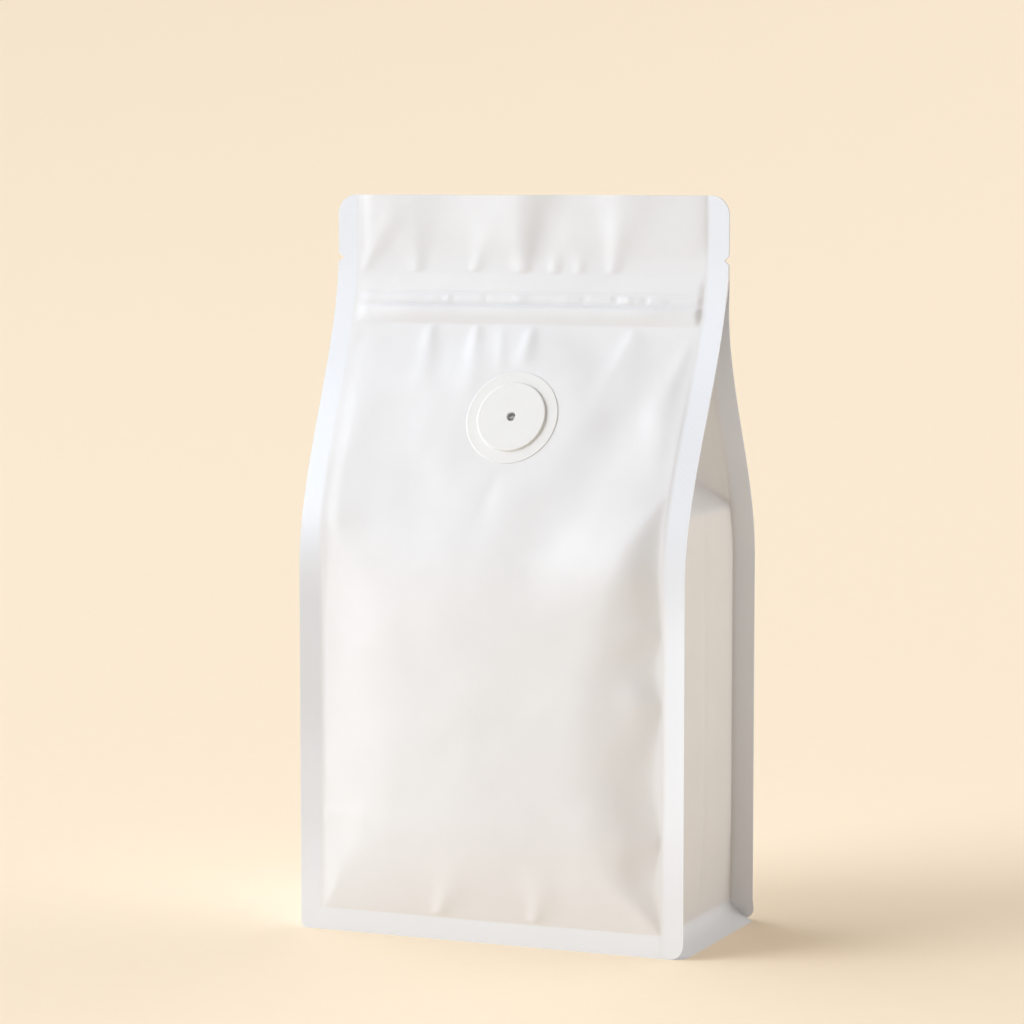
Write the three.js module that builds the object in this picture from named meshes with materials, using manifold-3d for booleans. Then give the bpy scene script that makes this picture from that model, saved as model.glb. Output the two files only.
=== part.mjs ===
// A flat-bottom coffee pouch of matte white film, filled and shut: four welded fins, two side gussets,
// a press-to-close zip that shows as relief, and a one-way degassing valve on the front.
// Millimetres, +Z up. The front faces -Y, and the origin is on the table under the middle of the pouch.
import * as THREE from "three";
import { mergeVertices } from "three/addons/utils/BufferGeometryUtils.js";
import Module from "manifold-3d";

const wasm = await Module();
wasm.setup();
const { lerp, degToRad } = THREE.MathUtils;

// Film and welds
const FILM_WIDTH = 130; // front and back sheet, welds included
const LOWER_WIDTH = 126.4; // the filled body draws the fins in a little
const HEIGHT = 227;
const BASE_DEPTH = 66; // front skirt to back skirt
const WELD = 7; // width of each welded band
const FIN = 0.8; // thickness of one welded fin
const TOP_THICKNESS = 1; // both sheets together at the top edge
const TOP_CORNER = 6; // radius of the sheets' upper corners
const FOOT_CORNER = 4; // radius of the corners on the table
const FIN_SHARE = 0.4; // most of the gap between front and back that one fin may take up near the top
const FLARE = { angle: degToRad(12), full: 122, end: 140 }; // the body's fins lean out, those above don't

// The two sheets: fin depth in the body, where the fins start to lean in and where they meet, how far the
// filled body stands out, the dip over the shoulder, and the swell between the shoulder and the zip
const FRONT = { side: -1, depth: 33.2, shoulder: 112, close: 211, belly: 5.8, dip: 1.5, swell: 1.2 };
const BACK = { side: 1, depth: 30.2, shoulder: 115, close: 195, belly: 8.8, dip: 0.5, swell: 1 };
const DIP_AT = [[104, 0], [128, 1], [152, 0]]; // heights, and the share of the dip there
const SWELL_AT = [[146, 0], [171, 1], [187, 0]];
const ARCH_POWER = 2.4; // dip and swell are flat in the middle and steeper beside the welds

// The filled body is a low hipped roof: a slope beside each weld, a crowned middle and rounded hips
const SHOULDER = 131; // height of the body's upper end, where the gussets start to fold in
const EDGE = { slope: 0.24, strip: 1.5 }; // strip: flat film beside the weld
const CROWN = 0.25;
const HIP = { round: 0.45, least: 0.05 };
const UPPER_END = { sharp: 1.5, soft: 22 }; // rounding of the body's top, at the welds and in the middle
const FOOT_EASE = 36; // heights over which the body fills out
const SHOULDER_EASE = 38;

// Side gussets: the panel leans in above the shoulder as a gable, up to its tip, then folds deeply
const SIDE_BULGE = 2.2;
const GABLE = { tip: 153, lean: 0.95, creaseRound: 0.06, narrowest: 0.02 };
const FOLD = { start: 151, full: 162 };
const SLIT_OPEN = 193; // below this height the fold between the fins is open
const SLIT_SHUT = 202; // above it everything is welded flat

// Zip relief, tear notch and the soft folds of the unwelded top
const ZIP_RIDGES = [
  { bottom: 187.6, top: 193, rise: 1.1 },
  { bottom: 193.4, top: 196.8, rise: 0.7 },
];
const ZIP_FLANGE = { top: 202, rise: 0.3 };
const ZIP_SPAN = 0.95; // share of the width between the welds
const NOTCH = { height: 207.4, half: 1.4, depth: 1.8 };
const FOLDS = { count: 6, rise: 1, start: 202.5, full: 207, fade: 0.5, edge: 0.82 };

// Underside: a groove between the skirt and the flat bottom panel
const GROOVE = { inset: 5, height: 1.8 };
const PANEL_INSET = 11;

// Valve
const VALVE = {
  right: 2.3, // distance of its centre from the sheet's middle line
  height: 159,
  flange: 14.7, // outer radius
  button: 11.1, // radius of the raised middle
  hole: 1.15, // radius of the vent
  sunk: 0.6, // depth of the seat pressed into the film
  flangeTop: 0.5,
  buttonTop: 1.6,
  holeFloor: 0.55,
  edge: 0.5, // rounding of the button
  edgeSteps: 4,
  gap: 0.3, // clearance in the seat
  sides: 48,
};
const SEAT_EASE = 30; // the film is flat under the valve, and free again at this radius

// Grid of the film
const PANEL_STEPS = 24; // columns across a sheet, between the welds
const GUSSET_STEPS = 10; // columns across a gusset
const EDGE_CROWDING = 0.35; // how much the columns crowd towards the welds
const EDGE_ROUND = 0.2; // how far a shut film edge stands proud at its middle
const FOOT_TURN = 16; // height up to which the rows are close together above the skirt
const ROWS = {
  corner: 4,
  foot: 3,
  fill: 4,
  body: 4,
  hip: 6,
  gable: GUSSET_STEPS / 2, // so that the gable's creases run through corners of the grid
  slope: 8,
  ridge: 6,
  groove: 5,
  top: 3,
  notch: 2,
};

const WHITE_FILM = new THREE.MeshStandardMaterial({ color: 0xf0efec, roughness: 0.55, metalness: 0 });
const WHITE_PLASTIC = new THREE.MeshStandardMaterial({ color: 0xf3f2f0, roughness: 0.4, metalness: 0 });

// 0 at from, 1 at to, with a soft start and end; from may be the larger.
function ramp(value, from, to) {
  return THREE.MathUtils.smoothstep((value - from) / (to - from), 0, 1);
}

// A value that eases from one [height, value] pair to the next.
function through(points, z) {
  let value = points[0][1];
  for (let i = 1; i < points.length; i++) {
    const [low, before] = points[i - 1];
    const [high, after] = points[i];
    value += (after - before) * ramp(z, low, high);
  }
  return value;
}

// Rises as a quarter of a wave, from 0 to 1 over the full distance.
function quarterWave(distance, full) {
  return Math.sin((Math.PI / 2) * THREE.MathUtils.clamp(distance / full, 0, 1));
}

// The lower of two surfaces, with the corner between them rounded off.
function softMin(a, b, rounding) {
  const near = Math.max(0, rounding - Math.abs(a - b)) / rounding;
  return Math.min(a, b) - (near * near * rounding) / 4;
}

// 1 on the table, 0 at the top of the skirt.
function skirtShare(z) {
  return Math.max(0, 1 - z / WELD) ** 2;
}

// How far a corner of this radius is cut back at a distance into it.
function roundCorner(into, radius) {
  const reached = THREE.MathUtils.clamp(into, 0, radius);
  return radius - Math.sqrt(radius ** 2 - reached ** 2);
}

// How far a fin's tip is cut back by the rounded corners and the tear notch.
function tipCut(z) {
  const top = roundCorner(z - HEIGHT + TOP_CORNER, TOP_CORNER);
  const foot = roundCorner(FOOT_CORNER - z, FOOT_CORNER);
  return top + foot + NOTCH.depth * Math.max(0, 1 - Math.abs(z - NOTCH.height) / NOTCH.half);
}

// The right-hand weld of one sheet at height z: its root beside the panel and its tip, as distances from
// the middle of the pouch.
function weld(face, z) {
  const flare = FLARE.angle * ramp(z, FLARE.end, FLARE.full);
  const across = Math.cos(flare);
  const out = Math.sin(flare);
  const topWidth = FILM_WIDTH - 2 * EDGE_ROUND;
  const width = lerp(LOWER_WIDTH, topWidth, ramp(z, FRONT.shoulder, FRONT.close));
  const body = lerp(TOP_THICKNESS / 2, face.depth, ramp(z, face.close, face.shoulder));
  const depth = lerp(body, BASE_DEPTH / 2 + WELD * out, skirtShare(z));
  const root = { x: width / 2 - WELD * across, y: depth - WELD * out };
  const reach = WELD - tipCut(z);
  return { root, tip: { x: root.x + reach * across, y: root.y + reach * out } };
}

// How far a sheet stands out from its welds; u runs from -1 at the left weld to 1 at the right one.
function bodyRise(face, u, fromSeam, z) {
  const below = SHOULDER - z;
  const soft = UPPER_END.sharp + UPPER_END.soft * (1 - u * u);
  const filledFrom = (below + Math.hypot(below, soft)) / 2;
  const belly = face.belly * quarterWave(z - WELD, FOOT_EASE) * quarterWave(filledFrom, SHOULDER_EASE);
  const edge = EDGE.slope * Math.max(0, fromSeam - EDGE.strip);
  const filled = softMin(edge, belly * (1 - CROWN * u * u), HIP.least + HIP.round * belly);
  const arch = 1 - Math.abs(u) ** ARCH_POWER;
  return filled + arch * (face.swell * through(SWELL_AT, z) - face.dip * through(DIP_AT, z));
}

// Relief of the zip strip at height z.
function zipRelief(z) {
  let relief = z > ZIP_RIDGES[0].bottom && z < ZIP_FLANGE.top ? ZIP_FLANGE.rise : 0;
  for (const { bottom, top, rise } of ZIP_RIDGES) {
    const across = (2 * z - bottom - top) / (top - bottom);
    relief += rise * Math.sqrt(Math.max(0, 1 - across ** 2));
  }
  return relief;
}

// The unwelded top waves as one double sheet: a shift along Y.
function topFold(u, z) {
  const swell = ramp(z, FOLDS.start, FOLDS.full) * lerp(1, FOLDS.fade, ramp(z, FOLDS.full, HEIGHT));
  return FOLDS.rise * swell * ramp(Math.abs(u), 1, FOLDS.edge) * Math.cos(Math.PI * FOLDS.count * u);
}

// The plane under the valve: how far out the front sheet's middle is there, how that changes with height,
// and how far it leans back.
function valvePlane() {
  const middle = (z) => {
    const { root } = weld(FRONT, z);
    return root.y + bodyRise(FRONT, 0, root.x, z);
  };
  const rise = middle(VALVE.height + VALVE.flange) - middle(VALVE.height - VALVE.flange);
  const slope = rise / (2 * VALVE.flange);
  return { out: middle(VALVE.height), slope, lean: Math.atan(-slope) };
}
const PLANE = valvePlane();

// The front sheet eased into the plane under the valve.
function easeToSeat(out, x, z) {
  const above = z - VALVE.height;
  const radius = Math.hypot(x - VALVE.right, above / Math.cos(PLANE.lean));
  return lerp(out, PLANE.out + PLANE.slope * above, ramp(radius, SEAT_EASE, VALVE.flange));
}

// A point of a sheet between its welds.
function panelPoint(face, u, z) {
  const { root } = weld(face, z);
  const x = u * root.x;
  const zip = zipRelief(z) * ramp(Math.abs(u), 1, ZIP_SPAN);
  const free = root.y + bodyRise(face, u, root.x - Math.abs(x), z) + zip;
  const out = face === FRONT ? easeToSeat(free, x, z) : free;
  return new THREE.Vector3(x, face.side * out + topFold(u, z), z);
}

// One sheet at height z, from its left fin tip to its right one.
function sheetRow(face, z) {
  const { tip } = weld(face, z);
  const row = [new THREE.Vector3(-tip.x, face.side * tip.y, z)];
  for (let i = 0; i <= PANEL_STEPS; i++) {
    const even = (2 * i) / PANEL_STEPS - 1;
    row.push(panelPoint(face, lerp(even, Math.sin((even * Math.PI) / 2), EDGE_CROWDING), z));
  }
  row.push(new THREE.Vector3(tip.x, face.side * tip.y, z));
  return row;
}

// Half the width of the gusset film, which is all used where the body is full.
function gussetHalf(z) {
  return (weld(FRONT, z).root.y + weld(BACK, z).root.y) / 2 - FIN;
}
const GUSSET_HALF = gussetHalf(FRONT.shoulder);

// How far the gusset lies inside the welds, at share w from its middle (0) to a weld (1).
function gussetInward(w, z) {
  const spare = Math.sqrt(Math.max(0, GUSSET_HALF ** 2 - gussetHalf(z) ** 2));
  const rise = GABLE.tip - SHOULDER;
  const lean = GABLE.lean * THREE.MathUtils.clamp(z - SHOULDER, 0, rise);
  const depth = lean + Math.max(0, spare - GABLE.lean * rise) * ramp(z, FOLD.start, FOLD.full);
  const crease = THREE.MathUtils.clamp((GABLE.tip - z) / rise, 0, 1 - GABLE.narrowest);
  const bulge = SIDE_BULGE * quarterWave(z - WELD, FOOT_EASE) * quarterWave(GABLE.tip - z, SHOULDER_EASE);
  return depth * softMin(1, (1 - w) / (1 - crease), GABLE.creaseRound) - bulge * (1 - w * w);
}

// The open gusset on the right at height z: the inner side of the front fin, the side panel or its inward
// fold, and the inner side of the back fin.
function openGusset(z) {
  const front = weld(FRONT, z);
  const back = weld(BACK, z);
  const fin = Math.min(FIN, FIN_SHARE * (front.tip.y + back.tip.y));
  const row = [{ x: front.tip.x, y: fin - front.tip.y }];
  for (let i = 0; i <= GUSSET_STEPS; i++) {
    const share = i / GUSSET_STEPS;
    const x = lerp(front.root.x, back.root.x, share) - gussetInward(Math.abs(2 * share - 1), z);
    row.push({ x, y: lerp(fin - front.root.y, back.root.y - fin, share) });
  }
  row.push({ x: back.tip.x, y: back.tip.y - fin });
  return row;
}

// The skirt's outline on the table, on the right; q runs from -1 at the front to 1 at the back.
function skirtOutline(q) {
  const straight = BASE_DEPTH / 2 - FOOT_CORNER;
  const turn = Math.max(0, Math.abs(q) - 0.5) * Math.PI;
  const along = straight * Math.min(1, 2 * Math.abs(q)) + FOOT_CORNER * Math.sin(turn);
  return { x: LOWER_WIDTH / 2 - FOOT_CORNER + FOOT_CORNER * Math.cos(turn), y: Math.sign(q) * along };
}

// The right-hand gusset at height z, drawn out to the skirt below and shut to a plain film edge above.
function gussetRow(z) {
  const skirt = skirtShare(z);
  const open = ramp(z, SLIT_SHUT, SLIT_OPEN);
  const tip = weld(FRONT, z).tip.x;
  const row = openGusset(z);
  return row.map((point, i) => {
    const q = (2 * (i + 1)) / (row.length + 1) - 1;
    const shut = { x: tip + EDGE_ROUND * (1 - q * q), y: (q * TOP_THICKNESS) / 2 };
    const floor = skirtOutline(q);
    const x = lerp(lerp(shut.x, point.x, open), floor.x, skirt);
    const y = lerp(lerp(shut.y, point.y, open), floor.y, skirt);
    return new THREE.Vector3(x, y, z);
  });
}

// The closed outline of the pouch at height z, counter-clockwise seen from above.
function outlineAt(z) {
  const right = gussetRow(z);
  const left = right.map((p) => new THREE.Vector3(-p.x, p.y, p.z)).reverse();
  return [...sheetRow(FRONT, z), ...right, ...sheetRow(BACK, z).reverse(), ...left];
}

// Evenly spaced heights from one height up to, but not including, another.
function heights(from, to, steps) {
  return Array.from({ length: steps }, (_, i) => lerp(from, to, i / steps));
}

// Heights where a quarter round of this radius is cut, measured from its flat end.
function cornerHeights(radius) {
  const turns = Array.from({ length: ROWS.corner + 1 }, (_, i) => (i * Math.PI) / 2 / ROWS.corner);
  return turns.map((turn) => radius * (1 - Math.cos(turn)));
}

function rowHeights() {
  const [lower, upper] = ZIP_RIDGES;
  const full = WELD + FOOT_EASE;
  const hip = SHOULDER - SHOULDER_EASE;
  return [
    ...cornerHeights(FOOT_CORNER),
    ...heights(WELD, FOOT_TURN, ROWS.foot),
    ...heights(FOOT_TURN, full, ROWS.fill),
    ...heights(full, hip, ROWS.body),
    ...heights(hip, SHOULDER, ROWS.hip),
    ...heights(SHOULDER, GABLE.tip, ROWS.gable),
    ...heights(GABLE.tip, lower.bottom, ROWS.slope),
    ...heights(lower.bottom, lower.top, ROWS.ridge),
    ...heights(lower.top, upper.top, ROWS.groove),
    ...heights(upper.top, NOTCH.height - NOTCH.half, ROWS.top),
    ...heights(NOTCH.height - NOTCH.half, NOTCH.height + NOTCH.half, ROWS.notch),
    ...heights(NOTCH.height + NOTCH.half, HEIGHT - TOP_CORNER, ROWS.notch),
    ...cornerHeights(TOP_CORNER).map((h) => HEIGHT - h).reverse(),
  ];
}

// The underside, from the rim of the flat bottom panel out to the inner edge of the skirt.
function undersideRows(rim) {
  const inset = (by, z) => {
    const shrinkX = 1 - (2 * by) / LOWER_WIDTH;
    const shrinkY = 1 - (2 * by) / BASE_DEPTH;
    return rim.map((p) => new THREE.Vector3(p.x * shrinkX, p.y * shrinkY, z));
  };
  return [inset(PANEL_INSET, 0), inset(GROOVE.inset, GROOVE.height), inset(FIN, 0)];
}

// Joins rows of equal length into one closed surface: walls, a fan under the bottom, a strip over the top.
function loft(rows) {
  const columns = rows[0].length;
  const vertices = rows.flat();
  const triangles = [];
  const sheet = PANEL_STEPS + 3;
  const half = columns / 2;
  const gussetMiddle = (sheet - 1 + half) / 2; // the creases climb up to it and fall after it
  for (let r = 0; r + 1 < rows.length; r++) {
    for (let c = 0; c < columns; c++) {
      const a = r * columns + c;
      const b = r * columns + ((c + 1) % columns);
      if (c % half < gussetMiddle) triangles.push(a, b, b + columns, a, b + columns, a + columns);
      else triangles.push(a, b, a + columns, b, b + columns, a + columns);
    }
  }
  const centre = vertices.length;
  vertices.push(new THREE.Vector3(0, 0, 0));
  for (let c = 0; c < columns; c++) triangles.push(centre, (c + 1) % columns, c);
  const top = (rows.length - 1) * columns;
  for (let c = 0; c + 1 < sheet; c++) {
    const back = top + half + sheet - 1 - c;
    triangles.push(top + c, top + c + 1, back - 1, top + c, back - 1, back);
  }
  for (const end of [sheet - 1, half + sheet - 1]) {
    for (let c = end + 1; c < end + half - sheet + 1; c++) {
      triangles.push(top + end, top + c, top + ((c + 1) % columns));
    }
  }
  const geometry = new THREE.BufferGeometry().setFromPoints(vertices);
  geometry.setIndex(triangles);
  return geometry;
}

function pouchGeometry() {
  const walls = rowHeights().map(outlineAt);
  return loft([...undersideRows(walls[0]), ...walls]);
}

// The place and lean of the valve: local +Z points straight out of the front sheet.
function valveSeat() {
  const seat = new THREE.Group();
  seat.position.set(VALVE.right, -PLANE.out, VALVE.height);
  seat.rotation.x = Math.PI / 2 - PLANE.lean;
  seat.updateMatrix();
  return seat;
}

// Turns a profile of [radius, height] points about local Z; it starts and ends on the axis.
function turned(profile) {
  const points = profile.map(([radius, height]) => new THREE.Vector2(radius, height));
  return new THREE.LatheGeometry(points, VALVE.sides).rotateX(Math.PI / 2);
}

function valveGeometry() {
  const { flange, button, hole, edge, edgeSteps, flangeTop, buttonTop, holeFloor, sunk, gap } = VALVE;
  const bevel = flangeTop / 2;
  const profile = [
    [0, gap - sunk],
    [flange, gap - sunk],
    [flange, flangeTop - bevel],
    [flange - bevel, flangeTop],
    [button + bevel, flangeTop],
    [button, flangeTop + bevel],
    [button, buttonTop - edge],
  ];
  for (let i = 1; i <= edgeSteps; i++) {
    const turn = (i * Math.PI) / 2 / edgeSteps;
    profile.push([button - edge * (1 - Math.cos(turn)), buttonTop - edge * (1 - Math.sin(turn))]);
  }
  profile.push([hole, buttonTop], [hole, holeFloor], [0, holeFloor]);
  return turned(profile);
}

// A geometry as a solid that can be cut.
function solid(geometry) {
  const bare = geometry.clone();
  bare.deleteAttribute("normal");
  bare.deleteAttribute("uv");
  const merged = mergeVertices(bare, 1e-4);
  const vertProperties = merged.attributes.position.array;
  const triVerts = new Uint32Array(merged.index.array);
  return new wasm.Manifold(new wasm.Mesh({ numProp: 3, vertProperties, triVerts }));
}

function toGeometry(made) {
  const { vertProperties, triVerts } = made.getMesh();
  const geometry = new THREE.BufferGeometry();
  geometry.setAttribute("position", new THREE.BufferAttribute(vertProperties, 3));
  geometry.setIndex(new THREE.BufferAttribute(triVerts, 1));
  return geometry;
}

// The recess that the valve's flange is pressed into.
function seatCut(seat) {
  const radius = VALVE.flange + VALVE.gap;
  const reach = VALVE.buttonTop;
  const cut = turned([[0, -VALVE.sunk], [radius, -VALVE.sunk], [radius, reach], [0, reach]]);
  return cut.applyMatrix4(seat.matrix);
}

const seat = valveSeat();

const film = solid(pouchGeometry()).subtract(solid(seatCut(seat)));
const pouch = new THREE.Mesh(toGeometry(film), WHITE_FILM);
pouch.name = "pouch";

const valve = new THREE.Mesh(valveGeometry(), WHITE_PLASTIC);
valve.name = "valve";
seat.add(valve);

const part = new THREE.Group();
part.add(pouch, seat);

export default part;
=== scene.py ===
# %% [markdown]
# # A matt white coffee pouch with a degassing valve
#
# The pouch is one length of stiff laminated film, folded and welded into a bag that stands by itself:
# a front and a back sheet, a gusset on each side, a flat bottom, and thin welded fins wherever two sheets
# meet. This lesson loads the measured solid as a frame, then makes the film again, finely enough that the
# zip, the puckers and the soft folds catch the light, and seats a moulded valve on the front.
# Lengths are in millimetres until a mesh is made, because a pouch is measured in millimetres.

import math
from collections import namedtuple

import bmesh
import bpy
import numpy as np
from mathutils import Matrix, Vector


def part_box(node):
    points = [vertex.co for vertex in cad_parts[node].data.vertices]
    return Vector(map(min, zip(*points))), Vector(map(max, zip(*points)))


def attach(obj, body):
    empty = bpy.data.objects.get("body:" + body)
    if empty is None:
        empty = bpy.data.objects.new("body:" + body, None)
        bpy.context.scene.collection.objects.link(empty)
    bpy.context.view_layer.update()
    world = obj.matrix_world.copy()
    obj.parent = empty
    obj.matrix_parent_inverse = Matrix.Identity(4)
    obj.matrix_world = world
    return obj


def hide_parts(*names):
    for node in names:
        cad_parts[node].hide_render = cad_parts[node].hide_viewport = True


MM = 0.001
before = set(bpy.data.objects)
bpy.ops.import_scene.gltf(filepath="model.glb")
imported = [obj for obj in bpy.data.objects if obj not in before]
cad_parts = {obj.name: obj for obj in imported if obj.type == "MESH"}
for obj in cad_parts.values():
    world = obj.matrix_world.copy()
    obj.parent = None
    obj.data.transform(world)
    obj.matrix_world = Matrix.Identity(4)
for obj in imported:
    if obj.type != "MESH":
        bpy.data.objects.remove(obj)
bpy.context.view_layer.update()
pouch_low, pouch_high = (np.array(corner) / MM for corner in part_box("pouch"))
WIDTH, DEPTH, HEIGHT = pouch_high - pouch_low
print(f"pouch solid: {WIDTH:.1f} wide, {DEPTH:.1f} deep, {HEIGHT:.1f} mm tall")

# %% [markdown]
# ## The camera
#
# A long lens from a little over a metre away keeps the upright edges of a pack nearly parallel. The camera
# looks at the pouch from its right, a few degrees from above. Its place is worked out from two angles and a
# distance, so that each number means something on its own.

# %% Camera
AZIMUTH = math.radians(22.88)
LOOK_DOWN = math.radians(5.34)
CAMERA_DISTANCE = 1125.6
AIM_HEIGHT = 129.2
AIM_LEFT = 5.6  # the pouch stands a little right of the picture's middle
FOCAL_PIXELS = 3635
PICTURE_PIXELS = 1024


def ramp(value, start, end):
    share = np.clip((value - start) / (end - start), 0, 1)
    return share * share * (3 - 2 * share)


def mix(a, b, share):
    return a + (b - a) * share


def link(name, data):
    made = bpy.data.objects.new(name, data)
    bpy.context.scene.collection.objects.link(made)
    return made


def add_camera():
    across = Vector((math.cos(AZIMUTH), math.sin(AZIMUTH), 0))
    away = Vector((math.sin(AZIMUTH), -math.cos(AZIMUTH), 0))
    back = away * math.cos(LOOK_DOWN) + Vector((0, 0, math.sin(LOOK_DOWN)))
    aim = Vector((0, 0, AIM_HEIGHT)) - across * AIM_LEFT
    camera = link("camera", bpy.data.cameras.new("camera"))
    camera.location = (aim + back * CAMERA_DISTANCE) * MM
    camera.rotation_euler = back.to_track_quat("Z", "Y").to_euler()
    camera.data.lens = camera.data.sensor_width * FOCAL_PIXELS / PICTURE_PIXELS
    return camera


camera = add_camera()
bpy.context.scene.camera = camera
print(f"lens {camera.data.lens:.1f} mm, camera at {tuple(round(v, 3) for v in camera.location)}")

# %% [markdown]
# ## Colours and materials
#
# Every colour is written as the hex value that a paint chart or a picture editor shows. Blender's shaders
# work in linear light, so one function converts them. One more function adds a shader node, sets its
# values and links its inputs, which keeps a material readable as a list of nodes.

# %% Colour and node helpers


def linear(hex_colour):
    channels = [int(hex_colour[i : i + 2], 16) / 255 for i in (1, 3, 5)]
    decoded = [c / 12.92 if c <= 0.04045 else ((c + 0.055) / 1.055) ** 2.4 for c in channels]
    return (*decoded, 1)


def node(tree, kind, inputs=None, **settings):
    made = tree.nodes.new(kind)
    for name, value in settings.items():
        setattr(made, name, value)
    for name, value in (inputs or {}).items():
        if isinstance(value, bpy.types.NodeSocket):
            tree.links.new(value, made.inputs[name])
        else:
            made.inputs[name].default_value = value
    return made


def noise_scale(size):
    """Scale of a noise texture whose blotches are this many millimetres across."""
    return 1 / (size * MM)


def wave_scale(spacing):
    """Scale of a wave texture whose level bands or rings lie this many millimetres apart."""
    return math.pi / (10 * spacing * MM)


def new_material(name):
    material = bpy.data.materials.new(name)
    material.use_nodes = True
    material.node_tree.nodes.clear()
    return material, material.node_tree


print(f"half grey is {linear('#808080')[0]:.3f} in linear light")

# %% [markdown]
# ## The stage
#
# A pack is photographed on a paper sweep: the floor curves up into the background, so no horizon shows.
# Here the sweep goes all the way round, as a wide shallow dish, so that it works from every side. The cream
# paper ends a little in front of the pouch and a white table goes on from there. That is more than a detail:
# a white pack takes the colour of whatever lies in front of it, and cream all the way would turn it yellow.

# %% Paper sweep
SWEEP_FLOOR = 1350  # radius of the flat floor
SWEEP_RIM = 9000
SWEEP_RISE = 800
SWEEP_RINGS = 24
SWEEP_SIDES = 96
PAPER_CREAM, PAPER_SHADE = "#feedd4", "#fceacf"
PAPER_FIBRE = 8  # size of the paper's mottle
TABLE_WHITE = "#fbfbfa"
PAPER_FRONT, TABLE_FRONT = 190, 440  # how far in front the paper starts and ends its fade to the table


def paper_sweep():
    share = np.linspace(0, 1, SWEEP_RINGS)
    radius = np.append(SWEEP_FLOOR / 2, mix(SWEEP_FLOOR, SWEEP_RIM, share))[:, None]
    height = np.append(0, SWEEP_RISE * share**2)[:, None]
    around = np.linspace(0, 2 * math.pi, SWEEP_SIDES, endpoint=False)[None, :]
    rings = np.stack([radius * np.cos(around), radius * np.sin(around), height + 0 * around], -1)
    points = np.vstack([[[0, 0, 0]], rings.reshape(-1, 3)]) * MM
    index = 1 + np.arange(rings.shape[0] * SWEEP_SIDES).reshape(-1, SWEEP_SIDES)
    after = np.roll(index, -1, 1)
    faces = [(0, a, b) for a, b in zip(index[0].tolist(), after[0].tolist())]
    faces += np.stack([index[:-1], index[1:], after[1:], after[:-1]], -1).reshape(-1, 4).tolist()
    mesh = bpy.data.meshes.new("paper_sweep")
    mesh.from_pydata(points.tolist(), [], faces)
    mesh.shade_smooth()
    return link("paper_sweep", mesh)


def cream_paper():
    # Uncoated background paper: evenly dull, with a faint fibre mottle, on a white table.
    material, tree = new_material("cream_background_paper")
    place = node(tree, "ShaderNodeTexCoord").outputs["Object"]
    fibre = {"Vector": place, "Scale": noise_scale(PAPER_FIBRE), "Detail": 3}
    fibre = node(tree, "ShaderNodeTexNoise", fibre).outputs["Fac"]
    tint = {"Factor": fibre, "A": linear(PAPER_CREAM), "B": linear(PAPER_SHADE)}
    tint = node(tree, "ShaderNodeMix", tint, data_type="RGBA").outputs["Result"]
    axes = node(tree, "ShaderNodeSeparateXYZ", {"Vector": place})
    fade = {"Value": axes.outputs["Y"], "From Min": -PAPER_FRONT * MM, "From Max": -TABLE_FRONT * MM}
    fade = node(tree, "ShaderNodeMapRange", fade, interpolation_type="SMOOTHSTEP").outputs["Result"]
    floor = {"Factor": fade, "A": tint, "B": linear(TABLE_WHITE)}
    floor = node(tree, "ShaderNodeMix", floor, data_type="RGBA").outputs["Result"]
    paper = node(tree, "ShaderNodeBsdfPrincipled", {"Base Color": floor, "Roughness": 0.9})
    node(tree, "ShaderNodeOutputMaterial", {"Surface": paper.outputs["BSDF"]})
    return material


sweep = paper_sweep()
sweep.data.materials.append(cream_paper())
print("sweep:", len(sweep.data.polygons), "faces")

# %% [markdown]
# ## The light
#
# One broad light stands to the left, a little in front of the pouch, and is what draws the folds: film that
# turns to the left brightens and film that turns to the right darkens. Lamps could do the rest, but a room is
# simpler: a few bright walls in the world shader, each a direction that fades to its sides. They fill the
# shadows more from the right than from the camera's side, which keeps the gusset's folds readable.

# %% Lights
KEY_LEFT = math.radians(50)  # how far round to the left of the pouch's front the light stands
KEY_UP = math.radians(23)
KEY_SPREAD = math.radians(40)  # a broad source, so shadows have soft edges
KEY_STRENGTH = 1.84
KEY_COLOUR = "#f5faff"
BRIGHT_WALLS = {  # direction, strength, how quickly it fades to its sides, and colour
    "left window": (Vector((-1.0, 0.0, 0.15)), 3.25, 3.0, "#ebf4ff"),
    "back right reflector": (Vector((0.75, 0.66, 0.1)), 2.55, 5.0, "#fafcff"),
    "ceiling": (Vector((0.0, 0.0, 1.0)), 0.47, 1.0, "#ffedd6"),
}


def add_key():
    key = link("key_light", bpy.data.lights.new("key_light", "SUN"))
    key.data.energy = KEY_STRENGTH
    key.data.angle = KEY_SPREAD
    key.data.color = linear(KEY_COLOUR)[:3]
    level = math.cos(KEY_UP)
    towards = Vector((-math.sin(KEY_LEFT) * level, -math.cos(KEY_LEFT) * level, math.sin(KEY_UP)))
    key.location = towards
    key.rotation_euler = towards.to_track_quat("Z", "Y").to_euler()


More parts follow.
